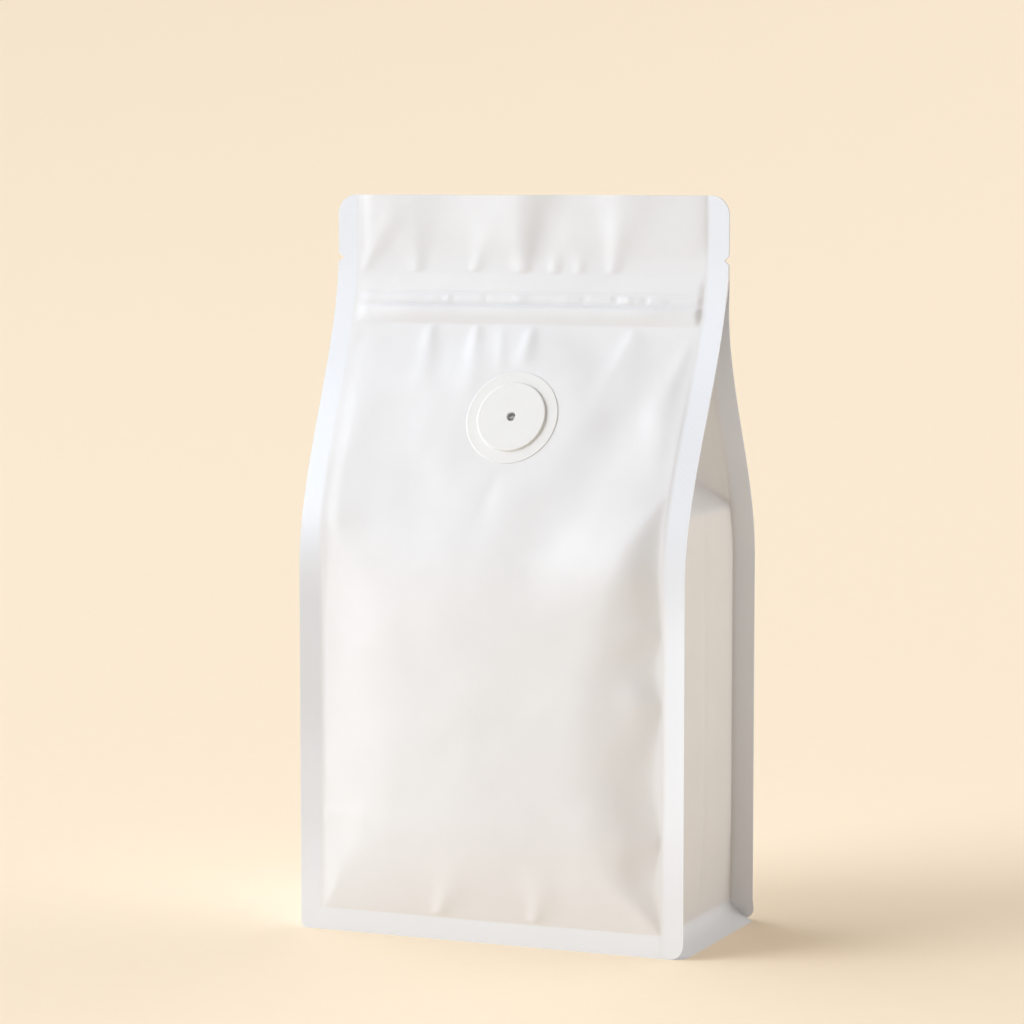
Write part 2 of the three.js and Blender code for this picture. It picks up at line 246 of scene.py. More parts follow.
def set_room():
    world = bpy.data.worlds.new("room_light")
    world.use_nodes = True
    tree = world.node_tree
    tree.nodes.clear()
    place = node(tree, "ShaderNodeTexCoord")
    glow = node(tree, "ShaderNodeBackground", {"Strength": 0}).outputs["Background"]
    for towards, strength, focus, colour in BRIGHT_WALLS.values():
        ends = {0: place.outputs["Generated"], 1: towards.normalized()}
        facing = node(tree, "ShaderNodeVectorMath", ends, operation="DOT_PRODUCT")
        ahead = node(tree, "ShaderNodeMath", {0: facing.outputs["Value"], 1: 0}, operation="MAXIMUM")
        fade = node(tree, "ShaderNodeMath", {0: ahead.outputs["Value"], 1: focus}, operation="POWER")
        level = node(tree, "ShaderNodeMath", {0: fade.outputs["Value"], 1: strength}, operation="MULTIPLY")
        wall = {"Color": linear(colour), "Strength": level.outputs["Value"]}
        lit = node(tree, "ShaderNodeBackground", wall)
        glow = node(tree, "ShaderNodeAddShader", {0: glow, 1: lit.outputs["Background"]}).outputs["Shader"]
    node(tree, "ShaderNodeOutputWorld", {"Surface": glow})
    bpy.context.scene.world = world


add_key()
set_room()
bpy.context.scene.view_settings.view_transform = "Standard"
print(f"key light {math.degrees(KEY_LEFT):.0f} degrees round to the left, {math.degrees(KEY_UP):.0f} up")

# %% [markdown]
# ## The film: welds
#
# The fins are where two sheets are welded face to face. They stand almost straight up the body, lean in
# over the shoulder, and meet at the top, where all the layers are welded flat. Everything else hangs on
# these four lines, so they come first. Each is a function of the height alone, and the height is a column
# of numbers, so one line of code works out the whole weld.

# %% Sizes of the welds
WELD = 7.0  # width of a welded band
FIN = 0.45  # thickness of a welded fin
TOP_THICKNESS = 1.0  # both sheets at the top edge
EDGE_ROUND = 0.1  # how far that edge is rounded out past its corners
LOWER_WIDTH = WIDTH - 3.6  # the filled body draws the fins in
BASE_DEPTH = 66.0
SHOULDER = 131.0  # where the filled body ends and the gussets start to fold in
RIGHT_SHOULDER = 137.0  # the body is filled a little higher on the right
ZIP_BOTTOM = 187.6
LEFT, RIGHT = -1, 1

TOP_CORNER = 6.0  # radius of the upper corners
FOOT_CORNER = {LEFT: 1.6, RIGHT: 4.6}
NOTCH_HEIGHT = 207.4
NOTCH_HALF = 1.3
NOTCH_DEPTH = {LEFT: 2.0, RIGHT: 1.5}

# Where a sheet's welds stand, from what height to what height they come together, how far it bulges and
# dips, and how many degrees its fins turn out, at heights on the left and on the right.
Sheet = namedtuple("Sheet", "side depth shoulder close belly saddle swell flare")
FRONT = Sheet(
    side=-1,
    depth=33.2,
    shoulder=112.0,
    close=211.0,
    belly=5.8,
    saddle=1.5,
    swell=1.2,
    flare={
        LEFT: [(10, 0.0), (44, 8.0), (74, 15.0), (100, 14.5), (134, -5.0), (164, -4.0), (180, 0.0)],
        RIGHT: [(12, 0.0), (50, 8.0), (92, 7.5), (120, -3.0), (150, -4.0), (188, 0.0)],
    },
)
BACK = Sheet(
    side=1,
    depth=30.2,
    shoulder=115.0,
    close=195.0,
    belly=8.8,
    saddle=0.5,
    swell=1.0,
    flare={LEFT: [(122, 12.0), (140, 0.0)], RIGHT: [(122, 12.0), (140, 0.0)]},
)
print(f"welds {WELD:.0f} mm wide, body {LOWER_WIDTH:.1f} by {BASE_DEPTH:.0f} mm at the foot")

# %% Weld lines


def through(points, z):
    """A value that eases from one (height, value) pair to the next."""
    value = points[0][1] + 0 * z
    for (low, before), (high, after) in zip(points, points[1:]):
        value = value + (after - before) * ramp(z, low, high)
    return value


def both_hands(values, share, z=None):
    """The left value and the right one, blended across the sheet. With heights, each is a list of pairs."""
    left, right = (values[hand] if z is None else through(values[hand], z) for hand in (LEFT, RIGHT))
    return mix(left, right, share)


def skirt_share(z):
    return np.clip(1 - z / WELD, 0, 1) ** 2


def round_corner(into, radius):
    into = np.clip(into, 0, radius)
    return radius - np.sqrt(radius**2 - into**2)


def tip_cut(hand, z):
    corners = round_corner(z - HEIGHT + TOP_CORNER, TOP_CORNER)
    corners = corners + round_corner(FOOT_CORNER[hand] - z, FOOT_CORNER[hand])
    return corners + NOTCH_DEPTH[hand] * np.clip(1 - np.abs(z - NOTCH_HEIGHT) / NOTCH_HALF, 0, 1)


def weld_line(sheet, hand, z):
    """Root and tip of a sheet's weld at height z, as distances from the pouch's middle."""
    flare = np.radians(through(sheet.flare[hand], z))
    width = mix(LOWER_WIDTH, WIDTH - 2 * EDGE_ROUND, ramp(z, FRONT.shoulder, FRONT.close))
    body = mix(TOP_THICKNESS / 2, sheet.depth, ramp(z, sheet.close, sheet.shoulder))
    depth = mix(body, BASE_DEPTH / 2 + WELD * np.sin(flare), skirt_share(z))
    root_x = width / 2 - WELD * np.cos(flare)
    root_y = depth - WELD * np.sin(flare)
    reach = WELD - tip_cut(hand, z)
    return root_x, root_y, root_x + reach * np.cos(flare), root_y + reach * np.sin(flare)


MID_HEIGHT = np.array([80.0])
middle_root = weld_line(FRONT, RIGHT, MID_HEIGHT)[0][0]
print(f"panel between the welds: {2 * middle_root:.1f} mm wide at mid height")

# %% [markdown]
# ## The film: the filled body
#
# Film can bend but hardly stretch, so a filled sheet is less a cushion than a low hipped roof: a nearly
# flat middle, a slope down to each weld, and soft hips that run from the slopes' ends at the shoulder and
# the foot. A cushion from a cloth simulation would lose these hips. The lower of two slopes, with the corner
# between them rounded off, draws exactly that, and the two sides of the sheet may differ.

# %% Shape of the filled body
EDGE_SLOPE = {  # rise beside the weld, as pairs of a height and a slope
    LEFT: [(0, 0.2)],
    RIGHT: [(46, 0.31), (72, 0.38), (95, 0.34), (119, 0.48)],
}
EDGE_STRIP = {  # flat film beside the weld, which is narrow where the film is pinched
    LEFT: [(96, 1.0), (124, 2.6)],
    RIGHT: [(10, 0.4), (22, 2.4), (34.5, 0.6), (55, 3.6), (75, 0.8), (87, 2.4), (97, 0.8), (124, 1.4)],
}
STRIP_ROUND = 0.8  # how softly the strip turns into the slope
STRIP_DIP = 0.06  # slope of the strip itself, away from the weld
FOOT_EASE = 33.0  # height over which the body fills out from the foot
SHOULDER_EASE = {LEFT: 38.0, RIGHT: 24.0}  # and from the shoulder down
LOW_SIDE = 0.43  # height of the body's left side, as a share of its crest
LOW_AT, HIGH_AT = -0.85, -0.05  # where across the sheet those heights are reached
RIGHT_FALL = 0.22  # how much the body falls away to the right of its crest
HIP_ROUND = {  # rounding between slope and top, as a share of the belly
    LEFT: [(0, 0.09)],
    RIGHT: [(46, 0.3), (72, 0.9), (96, 0.4), (119, 0.3)],
}
HIP_LEAST = 0.05  # and a little more everywhere
HIP_SHARP, HIP_SOFT = 0.8, 22.0  # rounding of the body's upper end, beside the welds and in the middle
CROWN_POWER = 2.4  # how evenly hollow and air spread across the sheet
SADDLE = [(104, 0.0), (128, 1.0), (152, 0.0)]  # a shallow hollow over the shoulder
SWELL = [(146, 0.0), (171, 1.0), (187, 0.0)]  # and air under the zip
HAND_BLEND = 0.5  # values of the left side pass into those of the right within this much of the middle
SHOULDER_BLEND = (0.2, 0.95)  # and the shoulder's between these places
print(f"the body fills out over {FOOT_EASE:.0f} mm from the foot")

# %% Body relief


def quarter_wave(distance, full):
    return np.sin(math.pi / 2 * np.clip(distance / full, 0, 1))


def soft_min(a, b, rounding):
    near = np.clip(rounding - np.abs(a - b), 0, None) / rounding
    return np.minimum(a, b) - near * near * rounding / 4


def softened(distance, rounding):
    """The distance where it is positive and 0 where it isn't, with the corner rounded off."""
    return (distance + np.hypot(distance, rounding)) / 2


def body_rise(sheet, u, from_seam, z):
    below = mix(SHOULDER, RIGHT_SHOULDER, ramp(u, 0, 1)) - z
    below = softened(below, HIP_SHARP + HIP_SOFT * (1 - u**2))
    right_share = ramp(u, -HAND_BLEND, HAND_BLEND)
    shoulder_ease = both_hands(SHOULDER_EASE, ramp(u, *SHOULDER_BLEND))
    belly = sheet.belly * quarter_wave(z - WELD, FOOT_EASE) * quarter_wave(below, shoulder_ease)
    slope = both_hands(EDGE_SLOPE, right_share, z)
    strip = both_hands(EDGE_STRIP, right_share, z)
    crown = mix(LOW_SIDE, 1, quarter_wave(u - LOW_AT, HIGH_AT - LOW_AT))
    top = belly * (crown - RIGHT_FALL * np.clip(u - HIGH_AT, 0, None) ** 2)
    rounding = both_hands(HIP_ROUND, right_share, z)
    past_strip = softened(from_seam - strip, STRIP_ROUND * strip) - softened(-strip, STRIP_ROUND * strip)
    edge = slope * past_strip
    dip = STRIP_DIP * np.minimum(from_seam, strip) * np.clip(belly / sheet.belly, 0, 1)
    filled = soft_min(edge, top, HIP_LEAST + rounding * belly)
    arch = 1 - np.abs(u) ** CROWN_POWER
    return filled - dip + arch * (sheet.swell * through(SWELL, z) - sheet.saddle * through(SADDLE, z))


middle_rise = body_rise(FRONT, 0.0, middle_root, MID_HEIGHT)[0]
print(f"the front stands {middle_rise:.1f} mm proud of its welds at mid height")

# %% [markdown]
# ## The film: puckers and folds
#
# Above the zip the sheets hang free and pucker, because the stiff strip is a little shorter than the film.
# Pleats hang below it, and the welds pinch the film at the sides and the foot. Sculpting could make them, but
# each is the same thing: a ridge that is sharp where it starts and wide where it dies away. So one function
# draws them all, from a start, an end, two widths and two heights.
#
# Places on the sheet are a distance from its middle line and a height. A fold that rises less than nothing is
# a valley. Its left flank, for one who walks from its start to its end, may be wider or narrower than its
# right.

# %% Folds above and below the zip
Fold = namedtuple("Fold", "start end narrow wide rise end_rise left_flank", defaults=(0.0, 1.0))

TOP_FOLDS = [
    Fold((-57.0, 203.5), (-45.0, 221.0), 1.6, 4.0, 0.3, 0.4),
    Fold((-53.0, 213.0), (-51.5, 240.0), 9.0, 18.0, 0.55, 0.8, 0.26),
    Fold((-37.3, 203.0), (-41.5, 240.0), 1.3, 12.0, 0.4, 0.65, 1.4),
    Fold((-18.3, 203.0), (-13.0, 219.0), 1.3, 5.0, 0.4, 0.25),
    Fold((-4.6, 209.0), (-2.4, 240.0), 5.0, 13.0, 1.1, 2.7, 2.1),
    Fold((-1.9, 202.8), (2.5, 230.0), 1.7, 6.0, 0.65, 0.3, 1.6),
    Fold((8.8, 202.5), (8.5, 210.5), 1.3, 2.4, 0.6),
    Fold((16.9, 202.5), (16.7, 210.5), 1.3, 2.4, 0.55),
    Fold((27.6, 202.8), (30.0, 218.0), 1.4, 4.5, 0.45, 0.3),
    Fold((29.5, 210.5), (31.5, 240.0), 6.0, 19.0, 0.45, 1.5, 0.5),
]
ZIP_PLEATS = [
    Fold((-30.8, 186.0), (-29.0, 162.0), 1.6, 6.0, 0.55, 0.15),
    Fold((-15.2, 186.0), (-13.5, 168.0), 1.5, 4.5, 0.6, 0.3),
    Fold((-6.8, 185.5), (-4.0, 174.0), 1.2, 2.0, 0.3, 0.2),
    Fold((3.4, 185.6), (2.6, 173.0), 1.5, 3.6, 0.65, 0.4),
]
print(len(TOP_FOLDS), "puckers above the zip and", len(ZIP_PLEATS), "pleats below it")

# %% Folds of the filled front
FRONT_FOLDS = [
    Fold((-52.3, 182.8), (-57.0, 179.6), 0.9, 1.3, -0.25, -0.2),
    Fold((36.8, 185.3), (29.5, 166.0), 1.7, 4.0, 0.5, 0.25, 2.5),
    Fold((28.0, 163.0), (12.0, 147.0), 4.0, 5.0, 0.25, 0.2),
    Fold((42.5, 164.0), (13.5, 112.0), 8.0, 12.0, -0.7, -0.75),
    Fold((55.9, 182.0), (47.8, 163.0), 1.8, 4.5, 0.4, 0.35),
    Fold((47.8, 163.0), (51.5, 142.0), 4.5, 4.5, 0.35, 0.1),
    Fold((-54.5, 182.0), (-49.0, 164.0), 3.0, 7.0, 0.15, 0.35, 2.4),
    Fold((-50.0, 164.0), (-51.5, 128.0), 5.0, 5.0, 0.35, 0.5, 1.7),
    Fold((57.3, 199.5), (57.2, 184.0), 0.8, 0.9, -0.3, -0.2),
    Fold((0.5, 142.5), (-9.0, 112.0), 1.3, 7.0, -0.3),
    Fold((-14.0, 141.0), (-18.0, 104.0), 7.0, 12.0, 0.2),
    Fold((-53.0, 97.0), (-44.0, 91.0), 1.6, 4.5, -0.25),
]
FRONT_PINCHES = [
    Fold((58.0, 97.0), (47.0, 99.0), 1.2, 4.0, 0.15, 0.3),
    Fold((58.0, 75.0), (46.0, 77.5), 1.2, 4.5, 0.2, 0.4),
    Fold((58.0, 34.5), (44.0, 34.5), 1.2, 4.5, 0.2, 0.4),
    Fold((-58.0, 36.5), (-41.0, 36.5), 1.2, 3.5, 0.15, 0.35),
    Fold((-17.0, 7.2), (-8.5, 21.0), 1.3, 6.0, 0.55, 0.3),
    Fold((15.1, 7.2), (20.0, 20.0), 1.3, 6.0, 0.55, 0.3),
]
print(len(FRONT_FOLDS), "folds and", len(FRONT_PINCHES), "pinches on the front")

# %% Folds of the back
BACK_FOLDS = [
    Fold((34.0, 193.0), (30.0, 172.0), 1.2, 4.0, -0.5),
    Fold((-22.0, 193.0), (-25.0, 170.0), 1.2, 4.0, -0.6),
    Fold((5.0, 193.0), (3.0, 176.0), 1.0, 3.0, -0.4),
    Fold((-54.0, 134.0), (-12.0, 100.0), 3.0, 10.0, 1.0),
    Fold((54.0, 134.0), (22.0, 106.0), 3.0, 9.0, 0.8),
]
BACK_PINCHES = [
    Fold((58.0, 88.0), (45.0, 84.0), 1.0, 4.0, 0.5, 0.1),
    Fold((-58.0, 62.0), (-45.0, 60.0), 1.0, 4.0, 0.5, 0.1),
    Fold((-20.0, 7.2), (-14.0, 21.0), 1.2, 4.0, 0.45, 0.1),
    Fold((24.0, 7.2), (20.0, 19.0), 1.2, 4.0, 0.45, 0.1),
]
print(len(BACK_FOLDS), "folds and", len(BACK_PINCHES), "pinches on the back")

# %% Relief of a fold
RUN_OUT, RUN_IN = 1.2, 0.8  # a fold's ends fade from this far outside to this far inside, in half widths


def fold_relief(folds, x, z):
    relief = 0 * (x + z)
    for fold in folds:
        run = np.subtract(fold.end, fold.start)
        length = np.hypot(*run)
        along = ((x - fold.start[0]) * run[0] + (z - fold.start[1]) * run[1]) / length
        across = ((x - fold.start[0]) * run[1] - (z - fold.start[1]) * run[0]) / length
        share = np.clip(along / length, 0, 1)
        half = mix(fold.narrow, fold.wide, share) * np.where(across < 0, fold.left_flank, 1)
        rise = mix(fold.rise, fold.end_rise, share)
        begin = ramp(along, -RUN_OUT * fold.narrow, RUN_IN * fold.narrow)
        finish = ramp(along, length + RUN_OUT * fold.wide, length - RUN_IN * fold.wide)
        relief = relief + rise * begin * finish * np.exp(-((across / half) ** 2))
    return relief


tallest = max(fold_relief([fold], *fold.start) for fold in FRONT_FOLDS)
print(f"the tallest fold of the front starts {tallest:.2f} mm high")

# %% [markdown]
# ## The film: zip strip
#
# A press-to-close zip is two plastic strips welded inside the sheets. It shows from outside as a flat band
# with a thin and a thick ridge, crushed flat where the fins are welded over its ends. The strip itself is
# hidden, so it needs no piece of its own: its relief is added to the sheet. Small dents break up the thin
# ridge, drawn at random with a fixed seed.

# %% Zip relief
ZIP_RIDGES = [(187.3, 192.3, 193.5, 1.1), (193.7, 195.4, 196.9, 0.3)]  # bottom, crest, top and rise
ZIP_GROOVES = [(193.4, 0.35, 0.28), (196.9, 0.35, 0.28)]  # height, half width and depth
ZIP_FLANGE_TOP, ZIP_FLANGE_RISE = 202.6, 0.9
ZIP_END = {LEFT: 4.5, RIGHT: 2.0}  # length over which the ridges run out beside the weld
ZIP_CRUSH = 20.0  # and over which they are flattened
ZIP_CRUSHED = {LEFT: 0.3, RIGHT: 0.55}  # height left of the flattened ridges
NICKS, NICK_HALF, NICK_DEPTH, NICK_SEED = 34, 0.7, 0.38, 5  # number, half width, depth and seed of the dents
NICK_FIRST, NICK_LAST = -54, 50  # places along the ridge
NICK_EDGE = 0.8  # a dent fades over this much at the ridge's lower and upper side


def nick_relief(x, z):
    """Small dents that the sealing bar left on the thin ridge."""
    draw = np.random.default_rng(NICK_SEED)
    bottom, _, top, _ = ZIP_RIDGES[1]
    band = ramp(z, bottom, bottom + NICK_EDGE) * ramp(z, top, top - NICK_EDGE)
    relief = 0 * (x + z)
    for place, depth in zip(draw.uniform(NICK_FIRST, NICK_LAST, NICKS), draw.uniform(-1, 1, NICKS)):
        relief = relief + depth * NICK_DEPTH * np.exp(-(((x - place) / NICK_HALF) ** 2))
    return relief * band


def zip_relief(x, z):
    relief = nick_relief(x, z)
    for bottom, crest, top, rise in ZIP_RIDGES:
        relief = relief + rise * quarter_wave(z - bottom, crest - bottom) * ramp(z, top, crest)
    flange_bottom, flange_full = ZIP_RIDGES[0][:2]
    flange_narrow = ZIP_RIDGES[1][2]
    thinning = np.clip((ZIP_FLANGE_TOP - z) / (ZIP_FLANGE_TOP - flange_narrow), 0, 1)
    flange = thinning * quarter_wave(z - flange_bottom, flange_full - flange_bottom)
    relief = relief + ZIP_FLANGE_RISE * flange
    for height, half, depth in ZIP_GROOVES:
        relief = relief - depth * np.exp(-(((z - height) / half) ** 2))
    return relief


thick_crest = zip_relief(0.0, ZIP_RIDGES[0][1])
print(f"the zip's thick ridge stands {thick_crest:.1f} mm out")

# %% [markdown]
# ## The valve's seat
#
# The valve is a stiff disc welded to the film, so the film under and around it is flat. The seat is a plane
# through the sheet where the valve sits, a little more upright than the sheet, and the film is eased into
# it. Folds and pleats are added after that, each kept clear of the disc, so that the easing doesn't iron
# them out.

# %% Valve seat
VALVE_PLACE = (2.3, 159.8)  # distance from the middle line, and height
VALVE_FLANGE = 14.9  # radius
SEAT_EASE = 34.0  # the film has its own shape again this far from the valve's middle
SEAT_UPRIGHT = 0.94  # the stiff disc leans a little less than the sheet
FOLD_CLEAR, PLEAT_CLEAR = 15.0, 5.0  # folds and pleats die away this far from the disc


def front_middle(z):
    root_x, root_y = weld_line(FRONT, RIGHT, z)[:2]
    return root_y + body_rise(FRONT, 0 * z, root_x, z)


def valve_seat():
    lower, middle, upper = front_middle(VALVE_PLACE[1] + np.array([-VALVE_FLANGE, 0, VALVE_FLANGE]))
    return middle, SEAT_UPRIGHT * (upper - lower) / (2 * VALVE_FLANGE)


SEAT_OUT, SEAT_SLOPE = valve_seat()
SEAT_LEAN = math.atan(-SEAT_SLOPE)


def from_valve(x, z):
    return np.hypot(x - VALVE_PLACE[0], (z - VALVE_PLACE[1]) / math.cos(SEAT_LEAN))


def ease_to_seat(out, x, z):
    plane = SEAT_OUT + SEAT_SLOPE * (z - VALVE_PLACE[1])
    return mix(out, plane, ramp(from_valve(x, z), SEAT_EASE, VALVE_FLANGE))


print(f"valve seat {SEAT_OUT:.1f} mm out, leaning back {math.degrees(SEAT_LEAN):.1f} degrees")

# %% [markdown]
# ## The film: a whole sheet
#
# A real sheet has all of this at once: the filled body, the step at each weld, the zip, the folds and the
# waves at the free top. Modifiers stacked on a mesh could add them one by one. Here each is a number at a
# place on the sheet, so adding the numbers gives the sheet, and every layer can be changed by itself. Above
# the zip both sheets swing to the same side, because they hang together from it.

# %% Sheet surface
SEAM_STEP = {LEFT: [(0, 0.02)], RIGHT: [(112, 0.05), (128, 0.14), (158, 0.14), (172, 0.03)]}
FOOT_STEP = 0.15
SEAM_EASE = 0.4  # the film steps up from a weld over this distance
TOP_PUFF = {LEFT: 0.12, RIGHT: 0.5}  # the free sheets stand a little apart above the zip
TOP_PUFF_EASE = 2.2
PUFF_FROM, PUFF_FULL = ZIP_FLANGE_TOP + 4, ZIP_FLANGE_TOP + 12
WAVE_FROM, WAVE_FULL = ZIP_FLANGE_TOP - 0.2, ZIP_FLANGE_TOP + 1.8
WAVE_END = 3.6  # waves, folds and pinches die away over these distances from a weld
FOLD_END = 6.0
PINCH_END = 2.0


def top_wave(x, z):
    """Both sheets swing together above the zip's flange."""
    return ramp(z, WAVE_FROM, WAVE_FULL) * fold_relief(TOP_FOLDS, x, z)


def sheet_out(sheet, u, x, from_seam, base_y, z):
    """How far out from the pouch's middle a sheet stands between its welds."""
    folds, pinches = (FRONT_FOLDS, FRONT_PINCHES) if sheet is FRONT else (BACK_FOLDS, BACK_PINCHES)
    right_share = ramp(u, -1, 1)
    seam = both_hands(SEAM_STEP, right_share, z) * (1 - np.exp(-from_seam / SEAM_EASE))
    foot = 1 - np.exp(-np.clip(z - WELD, 0, None) / SEAM_EASE)
    seam = seam + FOOT_STEP * foot * ramp(z, FOOT_EASE, 2 * WELD) * ramp(from_seam, 0, WELD)
    puff = both_hands(TOP_PUFF, right_share) * ramp(z, PUFF_FROM, PUFF_FULL)
    puff = puff * (1 - np.exp(-from_seam / TOP_PUFF_EASE))
    zip_share = ramp(from_seam, 0, both_hands(ZIP_END, right_share))
    crushed = both_hands(ZIP_CRUSHED, right_share)
    zip_share = zip_share * mix(crushed, 1, ramp(from_seam, 0, ZIP_CRUSH))
    wave_share = ramp(from_seam, 0, WAVE_END)
    out = base_y + body_rise(sheet, u, from_seam, z) + seam + puff
    out = out + zip_share * zip_relief(x, z) - sheet.side * wave_share * top_wave(x, z)
    relief = fold_relief(folds, x, z) * ramp(from_seam, 0, FOLD_END)
    from_weld = np.minimum(from_seam, z - WELD)
    relief = relief + fold_relief(pinches, x, z) * ramp(from_weld, 0, PINCH_END)
    if sheet is FRONT:
        out = ease_to_seat(out, x, z)
        clear = from_valve(x, z) - VALVE_FLANGE
        relief = relief * ramp(clear, 0, FOLD_CLEAR)
        relief = relief + fold_relief(ZIP_PLEATS, x, z) * ramp(clear, 0, PLEAT_CLEAR)
    return out + relief


crest_out = sheet_out(FRONT, 0.0, 0.0, middle_root, weld_line(FRONT, RIGHT, MID_HEIGHT)[1], MID_HEIGHT)[0]
print(f"the front's middle is {crest_out:.1f} mm out at mid height")

# %% [markdown]
# ## The film: rows and columns
#
# A mesh shows a fold only if it has points enough to bend there. A subdivided box would spend them evenly.
# Here the rows lie close together at the corners, the foot weld, the zip and the notches, and further apart
# on the smooth body, and the columns start fine beside a weld and widen towards the middle.

# %% Grid of the film
FIN_STEPS = 6
GUSSET_FIN_STEPS = 5
GUSSET_STEPS = 40
SEAM_FIRST, SEAM_GROWTH, PANEL_STEP = 0.15, 1.35, 1.05
CORNER_ROWS = 10
ROW_STEPS = [  # from this height up, rows are this far apart
    (TOP_CORNER, 0.4),
    (WELD + 3, 0.9),
    (30, 1.3),
    (ZIP_BOTTOM - 1.5, 0.33),
    (ZIP_FLANGE_TOP + 2, 0.4),
    (NOTCH_HEIGHT + 2, 0.9),
    (HEIGHT - TOP_CORNER, None),
]


def spaced(low, high, step):
    return np.linspace(low, high, max(1, round((high - low) / step)), endpoint=False)


def row_heights():
    corner = TOP_CORNER * (1 - np.cos(np.linspace(0, math.pi / 2, CORNER_ROWS + 1)))
    between = [spaced(low, high, step) for (low, step), (high, _) in zip(ROW_STEPS, ROW_STEPS[1:])]
    return np.concatenate([corner[:-1], *between, HEIGHT - corner[::-1]])


def across_shares():
    """Places across a sheet from -1 to 1, close together beside the welds."""
    from_seam = [0.0]
    step = SEAM_FIRST
    while step < PANEL_STEP:
        from_seam.append(from_seam[-1] + step)
        step *= SEAM_GROWTH
    edge = 1 - np.array(from_seam) / middle_root
    count = round(2 * edge[-1] * middle_root / PANEL_STEP)
    return np.concatenate([-edge[:-1], np.linspace(-edge[-1], edge[-1], count + 1), edge[-2::-1]])


ROWS = row_heights()[:, None]
ACROSS = across_shares()[None, :]
print(f"film grid: {ROWS.size} rows, {ACROSS.size} places across a panel")

# %% Front and back sheet


def sheet_points(sheet, z):
    left_x, left_y, left_tip_x, left_tip_y = weld_line(sheet, LEFT, z)
    right_x, right_y, right_tip_x, right_tip_y = weld_line(sheet, RIGHT, z)
    share = (ACROSS + 1) / 2
    panel_x = mix(-left_x, right_x, share)
    from_seam = np.minimum(panel_x + left_x, right_x - panel_x)
    panel_y = sheet_out(sheet, ACROSS, panel_x, from_seam, mix(left_y, right_y, share), z)
    out = np.linspace(0, 1, FIN_STEPS + 1)[None, 1:]
    xs = [-mix(left_x, left_tip_x, out)[:, ::-1], panel_x, mix(right_x, right_tip_x, out)]
    ys = [mix(left_y, left_tip_y, out)[:, ::-1], panel_y, mix(right_y, right_tip_y, out)]
    xs = np.concatenate(xs, 1)
    ys = sheet.side * np.concatenate(ys, 1)
    return np.stack([xs, ys, z + 0 * xs], -1)


front_points, back_points = sheet_points(FRONT, ROWS), sheet_points(BACK, ROWS)
print("front sheet:", front_points.shape[0], "by", front_points.shape[1], "points")

# %% [markdown]
# ## The film: gussets
#
# The side panel is flat where the pouch is full. Above the shoulder the fins come together, and the panel
# folds inwards as a milk carton's gable does: a triangle leans in, two creases run from its corners up to
# its tip, and from there one deep crease goes on to the top. Film keeps its length, so the depth of that
# crease follows from how far the fins have closed, by the rule of a right triangle.

# %% Gussets
SIDE_BULGE = 2.2  # how far the filled side panel stands out
GABLE_TIP = 153.0
GABLE_LEAN = 0.95  # how far the triangle leans in for each millimetre of height
FOLD_FROM, FOLD_FULL = GABLE_TIP - 2, 162.0  # heights over which the deep crease takes up the spare film
CREASE_ROUND = 0.04  # rounding of the gable's creases, as a share of their depth
CREASE_MOST = 0.98  # the triangle's creases start this close to the welds
FIN_SHARE = 0.4  # most that one fin takes of the room between the sheets' tips
SIDE_SQUARE = 8  # a high power keeps the side panel flat up to its edges
SIDE_CREASE, SIDE_CREASE_HALF = 0.35, 0.05  # depth of the middle crease, and its half width as a share
SLIT_OPEN, SLIT_SHUT = 193.0, 202.0  # the gusset's slit closes between these heights


def gusset_half(hand, z):
    return (weld_line(FRONT, hand, z)[1] + weld_line(BACK, hand, z)[1]) / 2 - FIN


def gusset_inward(hand, w, z):
    """How far the gusset lies inside the welds, at share w from its middle crease (0) to a weld (1)."""
    film_half = gusset_half(hand, np.array(FRONT.shoulder))
    spare = np.sqrt(np.clip(film_half**2 - gusset_half(hand, z) ** 2, 0, None))
    gable_depth = GABLE_LEAN * (GABLE_TIP - SHOULDER)
    lean = GABLE_LEAN * np.clip(z - SHOULDER, 0, GABLE_TIP - SHOULDER)
    depth = lean + np.clip(spare - gable_depth, 0, None) * ramp(z, FOLD_FROM, FOLD_FULL)
    crease = np.clip((GABLE_TIP - z) / (GABLE_TIP - SHOULDER), 0, CREASE_MOST)
    fold = depth * soft_min(1 + 0 * w, (1 - w) / (1 - crease), CREASE_ROUND)
    bulge = quarter_wave(z - WELD, FOOT_EASE) * quarter_wave(GABLE_TIP - z, SHOULDER_EASE[LEFT])
    pressed = SIDE_CREASE * np.exp(-((w / SIDE_CREASE_HALF) ** 2)) * ramp(z, WELD, 2 * WELD)
    return fold - SIDE_BULGE * bulge * (1 - w**SIDE_SQUARE) + pressed


deepest = gusset_inward(RIGHT, 0.0, ROWS).max()
print(f"the gusset's middle crease reaches {deepest:.1f} mm in")

# %% Gusset panels


def gusset_columns(hand, z):
    """One gusset: the front fin's inner side, the side panel, and the back fin's inner side."""
    front_x, front_y, front_tip_x, front_tip_y = weld_line(FRONT, hand, z)
    back_x, back_y, back_tip_x, back_tip_y = weld_line(BACK, hand, z)
    fin = np.minimum(FIN, FIN_SHARE * (front_tip_y + back_tip_y))
    share = np.linspace(0, 1, GUSSET_STEPS + 1)[None, :]
    x = mix(front_x, back_x, share) - gusset_inward(hand, np.abs(2 * share - 1), z)
    y = mix(fin - front_y, back_y - fin, share)
    out = np.linspace(1, 0, GUSSET_FIN_STEPS + 1)[None, :-1]
    xs = [mix(front_x, front_tip_x, out), x, mix(back_x, back_tip_x, out)[:, ::-1]]
    ys = [fin - mix(front_y, front_tip_y, out), y, mix(back_y, back_tip_y, out)[:, ::-1] - fin]
    return np.concatenate(xs, 1), np.concatenate(ys, 1)


